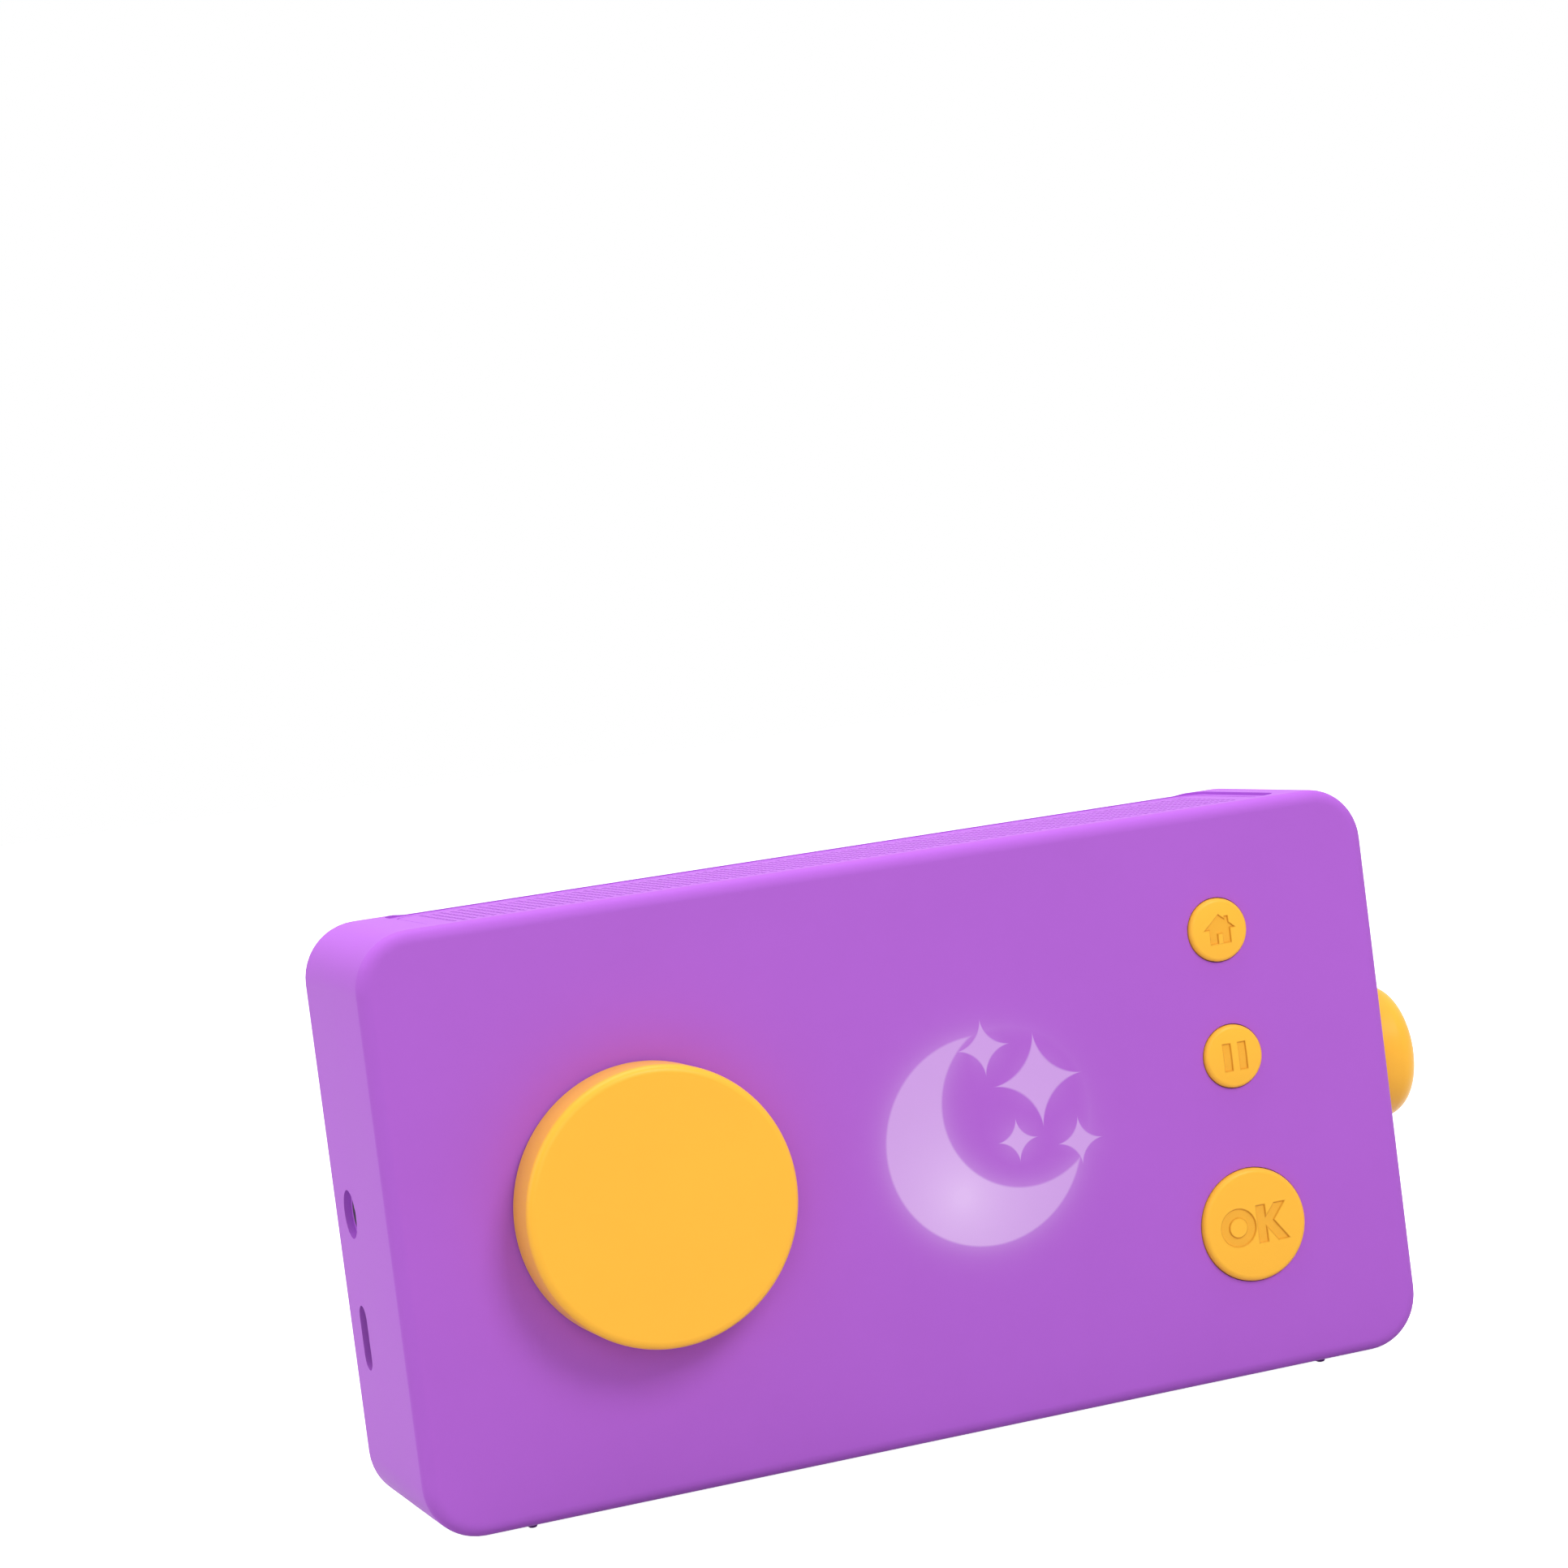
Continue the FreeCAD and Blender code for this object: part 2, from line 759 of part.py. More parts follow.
def speaker_grille():
    """The perforated insert: staggered rows of round holes."""
    gap = seat_gap
    plate = slab_z(
        grille_left + gap, grille_right - gap, grille_front + gap, grille_back - gap,
        grille_corner - gap, grille_bottom, recess_floor,
    )
    holes = []
    across = grille_right - grille_left - 2 * grille_margin
    along = grille_back - grille_front - 2 * grille_margin
    columns = int(across // grille_pitch_x)
    rows = int(along // grille_pitch_y)
    start_x = (grille_left + grille_right - columns * grille_pitch_x) / 2
    start_y = (grille_front + grille_back - rows * grille_pitch_y) / 2
    for row in range(rows + 1):
        shift = grille_pitch_x / 2 if row % 2 else 0.0
        for column in range(columns + 1 - row % 2):
            x = start_x + column * grille_pitch_x + shift
            y = start_y + row * grille_pitch_y
            holes.append(rod_z(x, y, grille_hole_radius, grille_bottom - past, recess_floor + past))
    return without(plate, holes)


def grille_cloth():
    gap = 2 * seat_gap
    return slab_z(
        grille_left + gap, grille_right - gap, grille_front + gap, grille_back - gap,
        grille_corner - gap, pocket_floor, grille_bottom,
    )


def speaker_parts():
    """A small loudspeaker: gasket, steel basket, paper cone, magnet and screws."""
    sheet = speaker_sheet
    low = basket_bottom
    basket = turned_z([
        (speaker_flange_radius, flange_top), (speaker_cone_radius, flange_top),
        (speaker_cone_radius, flange_bottom), (speaker_back_radius - sheet, low + sheet),
        (speaker_vent_radius, low + sheet), (speaker_vent_radius, low), (speaker_back_radius, low),
        (speaker_cone_radius + sheet, flange_bottom), (speaker_flange_radius, flange_bottom),
    ], speaker_x, speaker_y)
    ears = [rod_z(x, y, speaker_ear_radius, flange_bottom, flange_top) for x, y in speaker_ear_places()]
    left = speaker_x + speaker_back_radius + terminal_clearance
    front = speaker_y + terminal_offset
    terminal = slab_z(
        left, left + terminal_width, front, front + terminal_length, 0,
        flange_bottom - terminal_height, flange_bottom + speaker_flange_thickness / 2,
    )
    mouth = rod_z(speaker_x, speaker_y, speaker_cone_radius, flange_bottom, flange_top + past)
    inside = Part.makeCone(
        speaker_back_radius - sheet, speaker_cone_radius, speaker_basket_depth - sheet,
        V(speaker_x, speaker_y, low + sheet),
    )
    holes = [rod_z(x, y, speaker_screw_radius + hole_clearance, flange_bottom - past, flange_top + past)
             for x, y in speaker_ear_places()]
    basket = without(joined([basket] + ears + [terminal]), holes + [mouth, inside])
    foot = low - speaker_magnet_height
    bevel = speaker_magnet_chamfer
    magnet = turned_z([
        (0, foot), (speaker_magnet_radius - bevel, foot), (speaker_magnet_radius, foot + bevel),
        (speaker_magnet_radius, low), (speaker_pole_radius, low),
        (speaker_pole_radius, low + speaker_pole_rise), (0, low + speaker_pole_rise),
    ], speaker_x, speaker_y)
    rim = speaker_cone_radius - seat_gap
    edge = rim - cone_edge_width
    neck = low + cone_neck_height
    cap = low + cone_cap_height
    upper = [
        (rim, flange_top), (edge, flange_top + cone_edge_rise), (edge - cone_sheet, flange_bottom),
        (cone_neck_radius + cone_sheet, neck + cone_sheet), (cone_cap_radius, cap + cone_sheet),
        (0, cap + cone_cap_dome + cone_sheet),
    ]
    lower = [(max(0, radius - seat_gap), height - cone_sheet) for radius, height in reversed(upper[1:])]
    cone = turned_z(upper + lower + [(rim, flange_top - cone_sheet)], speaker_x, speaker_y)
    gasket = rod_z(speaker_x, speaker_y, speaker_flange_radius - gasket_inset, flange_top, ledge_bottom)
    gasket = gasket.cut(rod_z(
        speaker_x, speaker_y, speaker_cone_radius + gasket_mouth, flange_top - past, ledge_bottom + past,
    ))
    ear_gaps = [rod_z(x, y, speaker_screw_radius + hole_clearance, flange_top - past, ledge_bottom + past)
                for x, y in speaker_ear_places()]
    screws = [screw(speaker_head_radius, speaker_head_height, speaker_screw_radius, speaker_screw_length,
                    V(x, y, flange_bottom), V(0, 0, 1)) for x, y in speaker_ear_places()]
    return {
        "speaker_basket": basket,
        "speaker_magnet": magnet,
        "speaker_cone": cone,
        "speaker_gasket": without(gasket, ear_gaps),
        "speaker_screws": group(screws),
    }


def dial_parts():
    """The hollow dial cap on its flatted shaft, and the encoder that it turns."""
    top = -dial_height
    inner_face = top + dial_wall
    cap = rounded_at(rod_y(dial_x, dial_z, dial_radius, top, -dial_gap), dial_edge_radius, "y", top)
    cap = cap.cut(rod_y(dial_x, dial_z, dial_radius - dial_wall, inner_face, past))
    hub_end = well_floor_y - bush_length - hub_clearance
    ribs = []
    for index in range(dial_rib_count):
        rib = slab_y(0, dial_radius - dial_wall / 2, -rib_thickness / 2, rib_thickness / 2, 0,
                     inner_face - rib_root, inner_face + dial_rib_height)
        rib.rotate(V(0, 0, 0), V(0, 1, 0), 360.0 * index / dial_rib_count)
        rib.translate(V(dial_x, 0, dial_z))
        ribs.append(rib)
    hub = rod_y(dial_x, dial_z, dial_hub_radius, inner_face - rib_root, hub_end)
    shaft_end = inner_face + shaft_seat

    def flat_block(offset):
        return slab_y(
            dial_x - shaft_radius - past, dial_x + shaft_radius + past,
            dial_z + shaft_flat + offset, dial_z + shaft_radius + past, 0, shaft_end - past, hub_end + past,
        )

    bore = rod_y(dial_x, dial_z, shaft_radius + press_clearance, shaft_end - seat_gap, hub_end + past)
    bore = bore.cut(flat_block(press_clearance))
    cap = without(joined([cap, hub] + ribs), [bore])
    shaft_back = well_floor_y + encoder_height * shaft_depth_share
    shaft = rod_y(dial_x, dial_z, shaft_radius, shaft_end, shaft_back).cut(flat_block(0))
    half = encoder_width / 2
    body = slab_y(
        dial_x - half, dial_x + half, dial_z - half, dial_z + half, control_corner, well_floor_y, board_y,
    )
    bush = rod_y(dial_x, dial_z, bush_radius, well_floor_y - bush_length, well_floor_y + rib_root)
    bush_front = well_floor_y - bush_length
    bore = rod_y(dial_x, dial_z, shaft_radius + shaft_clearance, bush_front - past, shaft_back + seat_gap)
    encoder = without(joined([body, bush]), [bore])
    washer = ring_y(
        dial_x, dial_z, washer_radius, bush_radius + washer_clearance,
        well_depth - washer_thickness, well_depth,
    )
    nut_front = well_depth - washer_thickness - nut_thickness
    return {
        "dial_cap": cap,
        "encoder_shaft": shaft,
        "encoder_body": encoder,
        "encoder_washer": washer,
        "encoder_nut": hex_nut(V(dial_x, nut_front, dial_z), V(0, 1, 0)),
    }


def hex_nut(place, direction):
    """A thin hexagon nut that fits the threaded bush of either control."""
    reach = nut_across_flats / math.sqrt(3)
    angles = [math.radians(60 * corner) for corner in range(6)]
    ring = [V(reach * math.cos(angle), reach * math.sin(angle), 0) for angle in angles]
    nut = Part.Face(Part.makePolygon(ring + ring[:1])).extrude(V(0, 0, nut_thickness))
    bore_radius = bush_radius + press_clearance
    nut = nut.cut(Part.makeCylinder(bore_radius, nut_thickness + 2 * past, V(0, 0, -past)))
    nut.Placement = FreeCAD.Placement(place, FreeCAD.Rotation(V(0, 0, 1), direction))
    return nut


def volume_parts():
    """The domed volume knob on its flatted shaft, and the potentiometer."""
    outer_face = half_width + knob_height
    inner_face = outer_face - knob_wall
    rim = half_width + knob_gap
    knob = rod_x(knob_y, knob_z, knob_radius, rim, outer_face)
    knob = rounded_at(knob, knob_edge_radius, "x", outer_face)
    hollow = rod_x(knob_y, knob_z, knob_radius - knob_wall, rim - past, inner_face)
    hollow = rounded_at(hollow, max(least_radius, knob_edge_radius - knob_wall), "x", inner_face)
    bush_end = inner_x + pot_bush_length
    hub = rod_x(knob_y, knob_z, knob_hub_radius, bush_end + hub_clearance, inner_face + rib_root)
    shaft_end = inner_face - knob_shaft_gap

    def flat_block(offset):
        return slab_x(
            knob_y - shaft_radius - past, knob_y + shaft_radius + past,
            knob_z + shaft_flat + offset, knob_z + shaft_radius + past, 0, bush_end, shaft_end + past,
        )

    bore = rod_x(knob_y, knob_z, shaft_radius + press_clearance, bush_end - past, shaft_end + seat_gap)
    bore = bore.cut(flat_block(press_clearance))
    knob = without(joined([knob.cut(hollow), hub]), [bore])
    shaft_back = inner_x - pot_depth * shaft_depth_share
    shaft = rod_x(knob_y, knob_z, shaft_radius, shaft_back, shaft_end).cut(flat_block(0))
    can = rod_x(knob_y, knob_z, pot_radius, inner_x - pot_depth, inner_x)
    bush = rod_x(knob_y, knob_z, bush_radius, inner_x - rib_root, bush_end)
    half = pot_terminal_width / 2
    front = inner_x - pot_terminal_setback
    foot = knob_z - pot_radius - pot_terminal_drop
    terminals = slab_x(
        knob_y - half, knob_y + half, foot, foot + pot_terminal_drop + pot_terminal_lap, control_corner,
        front - pot_terminal_thickness, front,
    )
    bore = rod_x(knob_y, knob_z, shaft_radius + shaft_clearance, shaft_back - seat_gap, bush_end + past)
    pot = without(joined([can, bush, terminals]), [bore])
    washer = rod_x(knob_y, knob_z, washer_radius, half_width, half_width + washer_thickness)
    washer_bore = bush_radius + washer_clearance
    washer = washer.cut(rod_x(knob_y, knob_z, washer_bore, half_width - past, half_width + past))
    return {
        "volume_knob": knob,
        "volume_shaft": shaft,
        "potentiometer": pot,
        "volume_washer": washer,
        "volume_nut": hex_nut(V(half_width + washer_thickness, knob_y, knob_z), V(1, 0, 0)),
    }


def button_parts(name):
    """One push button: cap with flange and stem, switch and the switch's plunger."""
    z, radius, rise = BUTTONS[name]
    cap = rounded_at(rod_y(button_x, z, radius, -rise, front_wall + past), button_edge_radius, "y", -rise)
    flange_front = front_wall + seat_gap
    flange_back = flange_front + button_flange_thickness
    flange = rod_y(button_x, z, radius + button_flange, flange_front, flange_back)
    plunger_front = board_y - switch_height - plunger_rise
    stem = rod_y(button_x, z, button_stem_radius, flange_back - rib_root, plunger_front)
    hollow_front = button_face - small_button_rise
    hollow = ring_y(button_x, z, radius - button_wall, button_stem_radius, hollow_front, flange_back + past)
    web_reach = radius - button_web_inset
    web_front = button_web_face - small_button_rise
    half = rib_thickness / 2
    webs = [
        slab_y(button_x - web_reach, button_x + web_reach, z - half, z + half, 0, web_front, flange_back),
        slab_y(button_x - half, button_x + half, z - web_reach, z + web_reach, 0, web_front, flange_back),
    ]
    cap = joined([without(joined([cap, flange, stem]), [hollow])] + webs)
    switch_front = board_y - switch_height
    body = block_y(button_x, z, switch_width, switch_width, switch_front, board_y, switch_corner)
    floor = board_y - switch_floor
    body = body.cut(rod_y(button_x, z, plunger_radius + shaft_clearance, switch_front - past, floor))
    plunger = rod_y(button_x, z, plunger_radius, plunger_front, floor - button_travel - seat_gap)
    return {name + "_button": cap, name + "_switch": body, name + "_plunger": plunger}


def light_parts():
    """Diffuser, reflector shroud and the lamps that glow behind the window."""
    diffuser_front = window_skin + diffuser_gap
    diffuser_back = diffuser_front + diffuser_thickness
    diffuser = rod_y(window_x, window_z, window_radius - hole_clearance, diffuser_front, diffuser_back)
    outer = window_radius + shroud_wall
    shroud = rod_y(window_x, window_z, outer, max(front_wall, diffuser_back), board_y)
    cavity = Part.makeCone(
        window_radius - shroud_lip, window_radius - shroud_lip - shroud_taper,
        board_y - diffuser_back - shroud_floor,
        V(window_x, diffuser_back, window_z), V(0, 1, 0),
    )
    floor_gap = rod_y(window_x, window_z, lamp_ring_radius + lamp_width, diffuser_back, board_y + past)
    shroud = without(shroud, [cavity, floor_gap])
    lamps = []
    for index in range(lamp_count):
        angle = 2 * math.pi * index / lamp_count
        x = window_x + lamp_ring_radius * math.cos(angle)
        z = window_z + lamp_ring_radius * math.sin(angle)
        lamps.append(block_y(x, z, lamp_width, lamp_width * lamp_aspect, board_y - lamp_height, board_y))
    return {"light_diffuser": diffuser, "light_shroud": shroud, "window_lamps": group(lamps)}


def lead_socket_places():
    """Where each lead plugs in on the back of the main board."""
    battery_socket_x = battery_x + battery_length / 2 + battery_socket_beyond
    speaker_socket_x = speaker_x + speaker_back_radius + speaker_socket_beyond
    return {
        "battery": (battery_socket_x, board_low + battery_socket_above),
        "speaker": (speaker_socket_x, board_high - speaker_socket_below),
        "volume": (board_right - volume_socket_inset, knob_z),
        "port": (board_left + port_socket_inset, (usb_z + jack_z) / 2),
    }


def board_parts():
    """The main board with its screws, chips and lead sockets."""
    wide = slab_y(board_left, board_right, board_low, board_high, board_corner, board_y, board_back_y)
    tab = slab_y(tab_left, board_right, tab_low, tab_high, board_corner, board_y, board_back_y)
    holes = [rod_y(x, z, board_screw_radius + hole_clearance, board_y - past, board_back_y + past)
             for x, z in board_post_places()]
    board = without(joined([wide, tab]), holes)
    middle = (board_low + board_high) / 2
    amplifier = (amplifier_chip_width, amplifier_chip_width)
    chip_places = [
        (window_x - main_chip_left, middle, (main_chip_width, main_chip_width)),
        (window_x - main_chip_left, middle + memory_chip_above, memory_chip_size),
        (window_x + amplifier_chip_right, middle - amplifier_chip_below, amplifier),
        (button_x, ok_z + charger_chip_above, charger_chip_size),
    ]
    chips = [block_y(x, z, width, height, board_back_y, board_back_y + chip_thickness)
             for x, z, (width, height) in chip_places]
    sockets = [block_y(x, z, socket_width, socket_depth, board_back_y, socket_back_y)
               for x, z in lead_socket_places().values()]
    screws = [screw(board_head_radius, board_head_height, board_screw_radius, board_screw_length,
                    V(x, board_back_y, z), V(0, -1, 0)) for x, z in board_post_places()]
    return {
        "main_board": board,
        "board_chips": group(chips),
        "lead_sockets": group(sockets),
        "board_screws": group(screws),
    }


def port_parts():
    """Headphone jack and charging socket on their own small board."""
    left, right, low, high = port_board_edges()
    back = port_board_y + port_board_thickness
    board = slab_y(left, right, low, high, board_corner, port_board_y, back)
    hole_radius = board_screw_radius + hole_clearance
    board = without(board, [rod_y(x, z, hole_radius, port_board_y - past, back + past)
                            for x, z in port_post_places()])
    half = jack_body_width / 2
    body = slab_x(
        port_board_y - jack_body_height, port_board_y, jack_z - half, jack_z + half, control_corner,
        -inner_x, -inner_x + jack_body_length,
    )
    nose_face = -half_width + jack_recess_depth
    nose = rod_x(port_y, jack_z, jack_nose_radius, nose_face, -inner_x)
    bore_end = -inner_x + jack_body_length - jack_end_wall
    bore = rod_x(port_y, jack_z, jack_bore_radius, nose_face - past, bore_end)
    jack = without(joined([body, nose]), [bore])
    usb_front = -inner_x + usb_setback
    usb_back = usb_front + usb_length
    half_y = usb_width / 2
    half_z = usb_height / 2
    shell = slab_x(usb_y - half_y, usb_y + half_y, usb_z - half_z, usb_z + half_z, half_y * usb_roundness,
                   usb_front, usb_back)
    half_y -= usb_sheet
    half_z -= usb_sheet
    cavity = slab_x(usb_y - half_y, usb_y + half_y, usb_z - half_z, usb_z + half_z, half_y * usb_roundness,
                    usb_front - past, usb_back - usb_back_wall)
    half_y = usb_tongue / 2
    half_z -= usb_tongue_inset
    tongue = slab_x(usb_y - half_y, usb_y + half_y, usb_z - half_z, usb_z + half_z, half_y * usb_roundness,
                    usb_front + usb_tongue_inset, usb_back - usb_back_wall / 2)
    usb = joined([shell.cut(cavity), tongue])
    screws = [screw(board_head_radius, board_head_height, board_screw_radius, board_screw_length,
                    V(x, back, z), V(0, -1, 0)) for x, z in port_post_places()]
    return {
        "port_board": board,
        "headphone_jack": jack,
        "charging_socket": usb,
        "port_board_screws": group(screws),
    }


def battery_parts():
    """The round cell, its strap and the strap's screws."""
    end_a = battery_x - battery_length / 2
    end_b = battery_x + battery_length / 2
    cell = rod_x(battery_y, battery_z, battery_radius, end_a, end_b)
    cap = rod_x(battery_y, battery_z, battery_cap_radius, end_b - rib_root, end_b + battery_cap_height)
    cell = joined([cell, cap])
    inner = battery_radius + press_clearance
    outer = inner + strap_thickness
    half = strap_width / 2
    low_x = battery_x - half
    high_x = battery_x + half
    band = rod_x(battery_y, battery_z, outer, low_x, high_x)
    legs = slab_y(low_x, high_x, battery_z - outer, battery_z + outer, 0, battery_y, strap_seat_y)
    reach = battery_radius + strap_thickness + strap_ear
    ear_front = strap_seat_y - strap_thickness
    ears = slab_y(
        low_x, high_x, battery_z - reach, battery_z + reach, strap_ear_corner, ear_front, strap_seat_y,
    )
    low_x -= past
    high_x += past
    behind = battery_y + outer + past
    tools = [
        rod_x(battery_y, battery_z, inner, low_x, high_x),
        slab_y(low_x, high_x, battery_z - inner, battery_z + inner, 0, battery_y, behind),
        slab_y(low_x, high_x, battery_z - outer - past, battery_z + outer + past, 0, strap_seat_y, behind),
    ]
    for x, z in strap_screw_places():
        hole_radius = board_screw_radius + hole_clearance
        tools.append(rod_y(x, z, hole_radius, ear_front - past, strap_seat_y + past))
    strap = without(joined([band, legs, ears]), tools)
    screws = [screw(board_head_radius, strap_head_height, board_screw_radius, strap_screw_length,
                    V(x, ear_front, z), V(0, 1, 0)) for x, z in strap_screw_places()]
    return {"battery_cell": cell, "battery_strap": strap, "strap_screws": group(screws)}


def lead_parts():
    """The leads that join the battery, speaker, volume control and ports to the board."""
    place = lead_socket_places()
    end_b = battery_x + battery_length / 2 + battery_cap_height
    bx, bz = place["battery"]
    sx, sz = place["speaker"]
    vx, vz = place["volume"]
    px, pz = place["port"]
    terminal_y = speaker_y + terminal_offset + terminal_length / 2
    pot_back = inner_x - pot_depth
    pot_y = knob_y + pot_radius - 2 * lead_radius - seat_gap
    port_lead_y = port_board_y - port_lead_below
    socket_right = port_board_edges()[0] + port_socket_right
    socket_half = port_socket_width / 2
    return {
        "battery_lead": lead([
            V(end_b, battery_y, battery_z), V(bx, battery_y, battery_z),
            V(bx, battery_y, bz), V(bx, socket_back_y, bz),
        ]),
        "speaker_lead": lead([
            V(sx, terminal_y, flange_bottom - terminal_height),
            V(sx, terminal_y, sz), V(sx, socket_back_y, sz),
        ]),
        "volume_lead": lead([
            V(pot_back, pot_y, knob_z), V(vx, pot_y, knob_z), V(vx, socket_back_y, knob_z),
        ]),
        "port_lead": lead([
            V(socket_right, port_lead_y, pz), V(px, port_lead_y, pz), V(px, socket_back_y, pz),
        ]),
        "port_lead_socket": slab_y(
            socket_right - port_socket_length, socket_right, pz - socket_half, pz + socket_half, 0,
            port_board_y - port_socket_height, port_board_y,
        ),
    }


def foot_strips():
    """Two rubber strips, each rooted in a groove of the underside."""
    strips = []
    back = foot_front + foot_length - seat_gap
    front = foot_front + seat_gap
    for side in (-1, 1):
        x = side * foot_x
        root = foot_root_width / 2 - seat_gap
        half = foot_width / 2
        body = slab_z(x - root, x + root, front, back, root, 0, foot_root_depth - foot_groove_clearance)
        tread = slab_z(x - half, x + half, front, back, half, -foot_rise, foot_root_depth / 2)
        tread = rounded_at(tread, min(foot_edge_radius, half * foot_edge_limit), "z", -foot_rise)
        strips.append(joined([body, tread]))
    return group(strips)


def cover_screws():
    seat_y = post_top_y + cover_seat_thickness
    return group([screw(cover_head_radius, cover_head_height, cover_screw_radius, cover_screw_length,
                        V(x, seat_y, z), V(0, -1, 0)) for x, z in cover_screw_places()])


def all_parts():
    parts = {
        "front_housing": front_case(),
        "rear_cover": rear_cover(),
        "cover_screws": cover_screws(),
        "speaker_grille": speaker_grille(),
        "grille_cloth": grille_cloth(),
        "foot_strips": foot_strips(),
    }
    for extra in (speaker_parts(), dial_parts(), volume_parts(), light_parts(), board_parts(),
                  port_parts(), battery_parts(), lead_parts()):
        parts.update(extra)
    for name in BUTTONS:
        parts.update(button_parts(name))
    return parts


def main():
    os.makedirs("parts", exist_ok=True)
    to_origin = V(-knob_height / 2, (dial_height - case_depth) / 2, foot_rise)
    for name, shape in all_parts().items():
        placed = shape.copy()
        placed.translate(to_origin)
        placed.exportStep("parts/" + name + ".step")
        print(name, len(placed.Solids), placed.isValid(), round(placed.Volume, 1))


main()
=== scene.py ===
"""The audio story player as it looks: satin purple case, yellow controls and a glowing window.

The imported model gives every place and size. Lengths here are in metres, unless a name ends in _mm. The
signs of the buttons and the motif of the window are drawn in millimetres.
"""

import json
import math

import bpy
import numpy as np
from mathutils import Matrix, Vector


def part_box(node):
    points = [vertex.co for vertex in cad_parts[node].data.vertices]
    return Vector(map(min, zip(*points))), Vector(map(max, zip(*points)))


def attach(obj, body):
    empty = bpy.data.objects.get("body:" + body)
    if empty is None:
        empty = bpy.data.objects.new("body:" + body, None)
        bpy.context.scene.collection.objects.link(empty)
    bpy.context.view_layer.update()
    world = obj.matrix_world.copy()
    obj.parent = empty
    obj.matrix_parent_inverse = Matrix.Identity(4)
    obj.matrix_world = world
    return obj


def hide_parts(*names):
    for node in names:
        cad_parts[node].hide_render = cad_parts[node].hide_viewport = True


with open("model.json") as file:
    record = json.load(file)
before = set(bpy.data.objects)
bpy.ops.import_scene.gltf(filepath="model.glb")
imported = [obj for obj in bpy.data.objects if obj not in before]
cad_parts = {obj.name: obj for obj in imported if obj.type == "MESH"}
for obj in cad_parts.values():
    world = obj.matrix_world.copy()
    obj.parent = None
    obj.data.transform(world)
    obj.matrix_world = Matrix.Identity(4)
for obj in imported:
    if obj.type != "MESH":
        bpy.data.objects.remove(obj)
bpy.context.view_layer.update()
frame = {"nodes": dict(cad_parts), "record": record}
nodes = frame["nodes"]

MM = 0.001
IMAGE_SIZE = 1932

# Sizes of the finish
grille_pitch = 2.0 * MM
grille_row_pitch = 1.732 * MM
grille_hole_radius = 0.5 * MM
grille_field_margin = 2.4 * MM
grille_edge = 0.25 * MM
grille_corner = 3.5 * MM
screw_head_radius = 2.9 * MM
screw_head_height = 2.0 * MM
screw_head_edge = 0.9 * MM
screw_shank_radius = 1.45 * MM
screw_point_length = 1.8 * MM
screw_point_radius = 0.4 * MM
screw_cross_reach_mm = 1.75
screw_cross_half_mm = 0.42
screw_cross_taper = 0.08
screw_cross_depth = 1.1 * MM
screw_cross_wall = 0.1 * MM
sign_depth = 0.3 * MM
sign_wall = 0.12 * MM
# Width of the painted shade along the signs' edges, and its strength on their floors
sign_shade_width = 0.22 * MM
sign_floor_shade = 0.35
button_flange = 1.1 * MM
button_flange_depth = 2.7 * MM
button_flange_thickness = 1.2 * MM
button_stem_radius = 2.2 * MM
small_button_edge = 0.85 * MM
small_button_crown = 0.42 * MM
ok_button_edge = 1.0 * MM
ok_button_crown = 0.10 * MM
small_button_cells = 150
ok_button_cells = 210
control_wall = 2.2 * MM
control_lip_radius = 0.3 * MM
dial_gap = 0.5 * MM
dial_edge = 1.5 * MM
dial_hub = 5.4 * MM
knob_edge = 4.0 * MM
knob_hub = 5.2 * MM
knob_hub_setback = 5.0 * MM

# Moon and stars of the window, in millimetres from its middle before motif_size enlarges them
motif_size = 1.18
moon_centre = (-2.0, -1.0)
moon_radius = 15.5
hollow_centre = (4.6, 3.8)
hollow_radius = 12.6
moon_softness = 0.5
star_softness = 0.25
star_bow = 0.6
halo_share = 0.34
moon_halo_reach = 1.7
star_halo_reach = 1.8
bright_centre = (-6.5, -8.5)
bright_radius = 1.0
bright_reach = 7.0
bright_share = 0.75
glow_share = 0.5
glow_colour = (0.36, 0.44, 0.29, 1.0)
front_skin_mm = 0.4
front_sharpness = 10.0

# Each star: its middle, the reach of its points, and the radius that its halo starts from
stars = (
    ((7.5, 6.5), 7.0, 1.6),
    ((-0.5, 12.5), 4.2, 0.9),
    ((13.0, -3.5), 3.6, 0.8),
    ((3.2, -1.8), 3.2, 0.7),
)

# Threads of the cloth and tracks of the boards, in radians per millimetre
thread_turn = 18.0
track_turn = (2.6, 0.4)

# Light: the world's level, the floor's own glow, and each lamp's place, size and power
world_strength = 0.47
floor_glow = 1.0
floor_half = 3.0
lamp_aim = (0.0, 0.0, 0.05)
lamps = {
    "top_lamp": ((0.0, 0.15, 1.0), 0.8, 8.0),
    "key_lamp": ((0.38, -0.95, 0.9), 0.5, 7.6),
    "left_lamp": ((-1.1, 0.3, 0.55), 0.8, 5.8),
    "front_lamp": ((-0.5, -1.2, 0.5), 0.6, 3.0),
}


def middle(node):
    """The centre of a node's box, as an array in metres."""
    low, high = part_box(node)
    return (np.array(low) + np.array(high)) / 2


def linear(red, green, blue):
    """A colour written as 0 to 255 on screen, as the linear colour that a shader takes."""
    screen = np.array([red, green, blue]) / 255.0
    return tuple(np.where(screen <= 0.04045, screen / 12.92, ((screen + 0.055) / 1.055) ** 2.4)) + (1.0,)


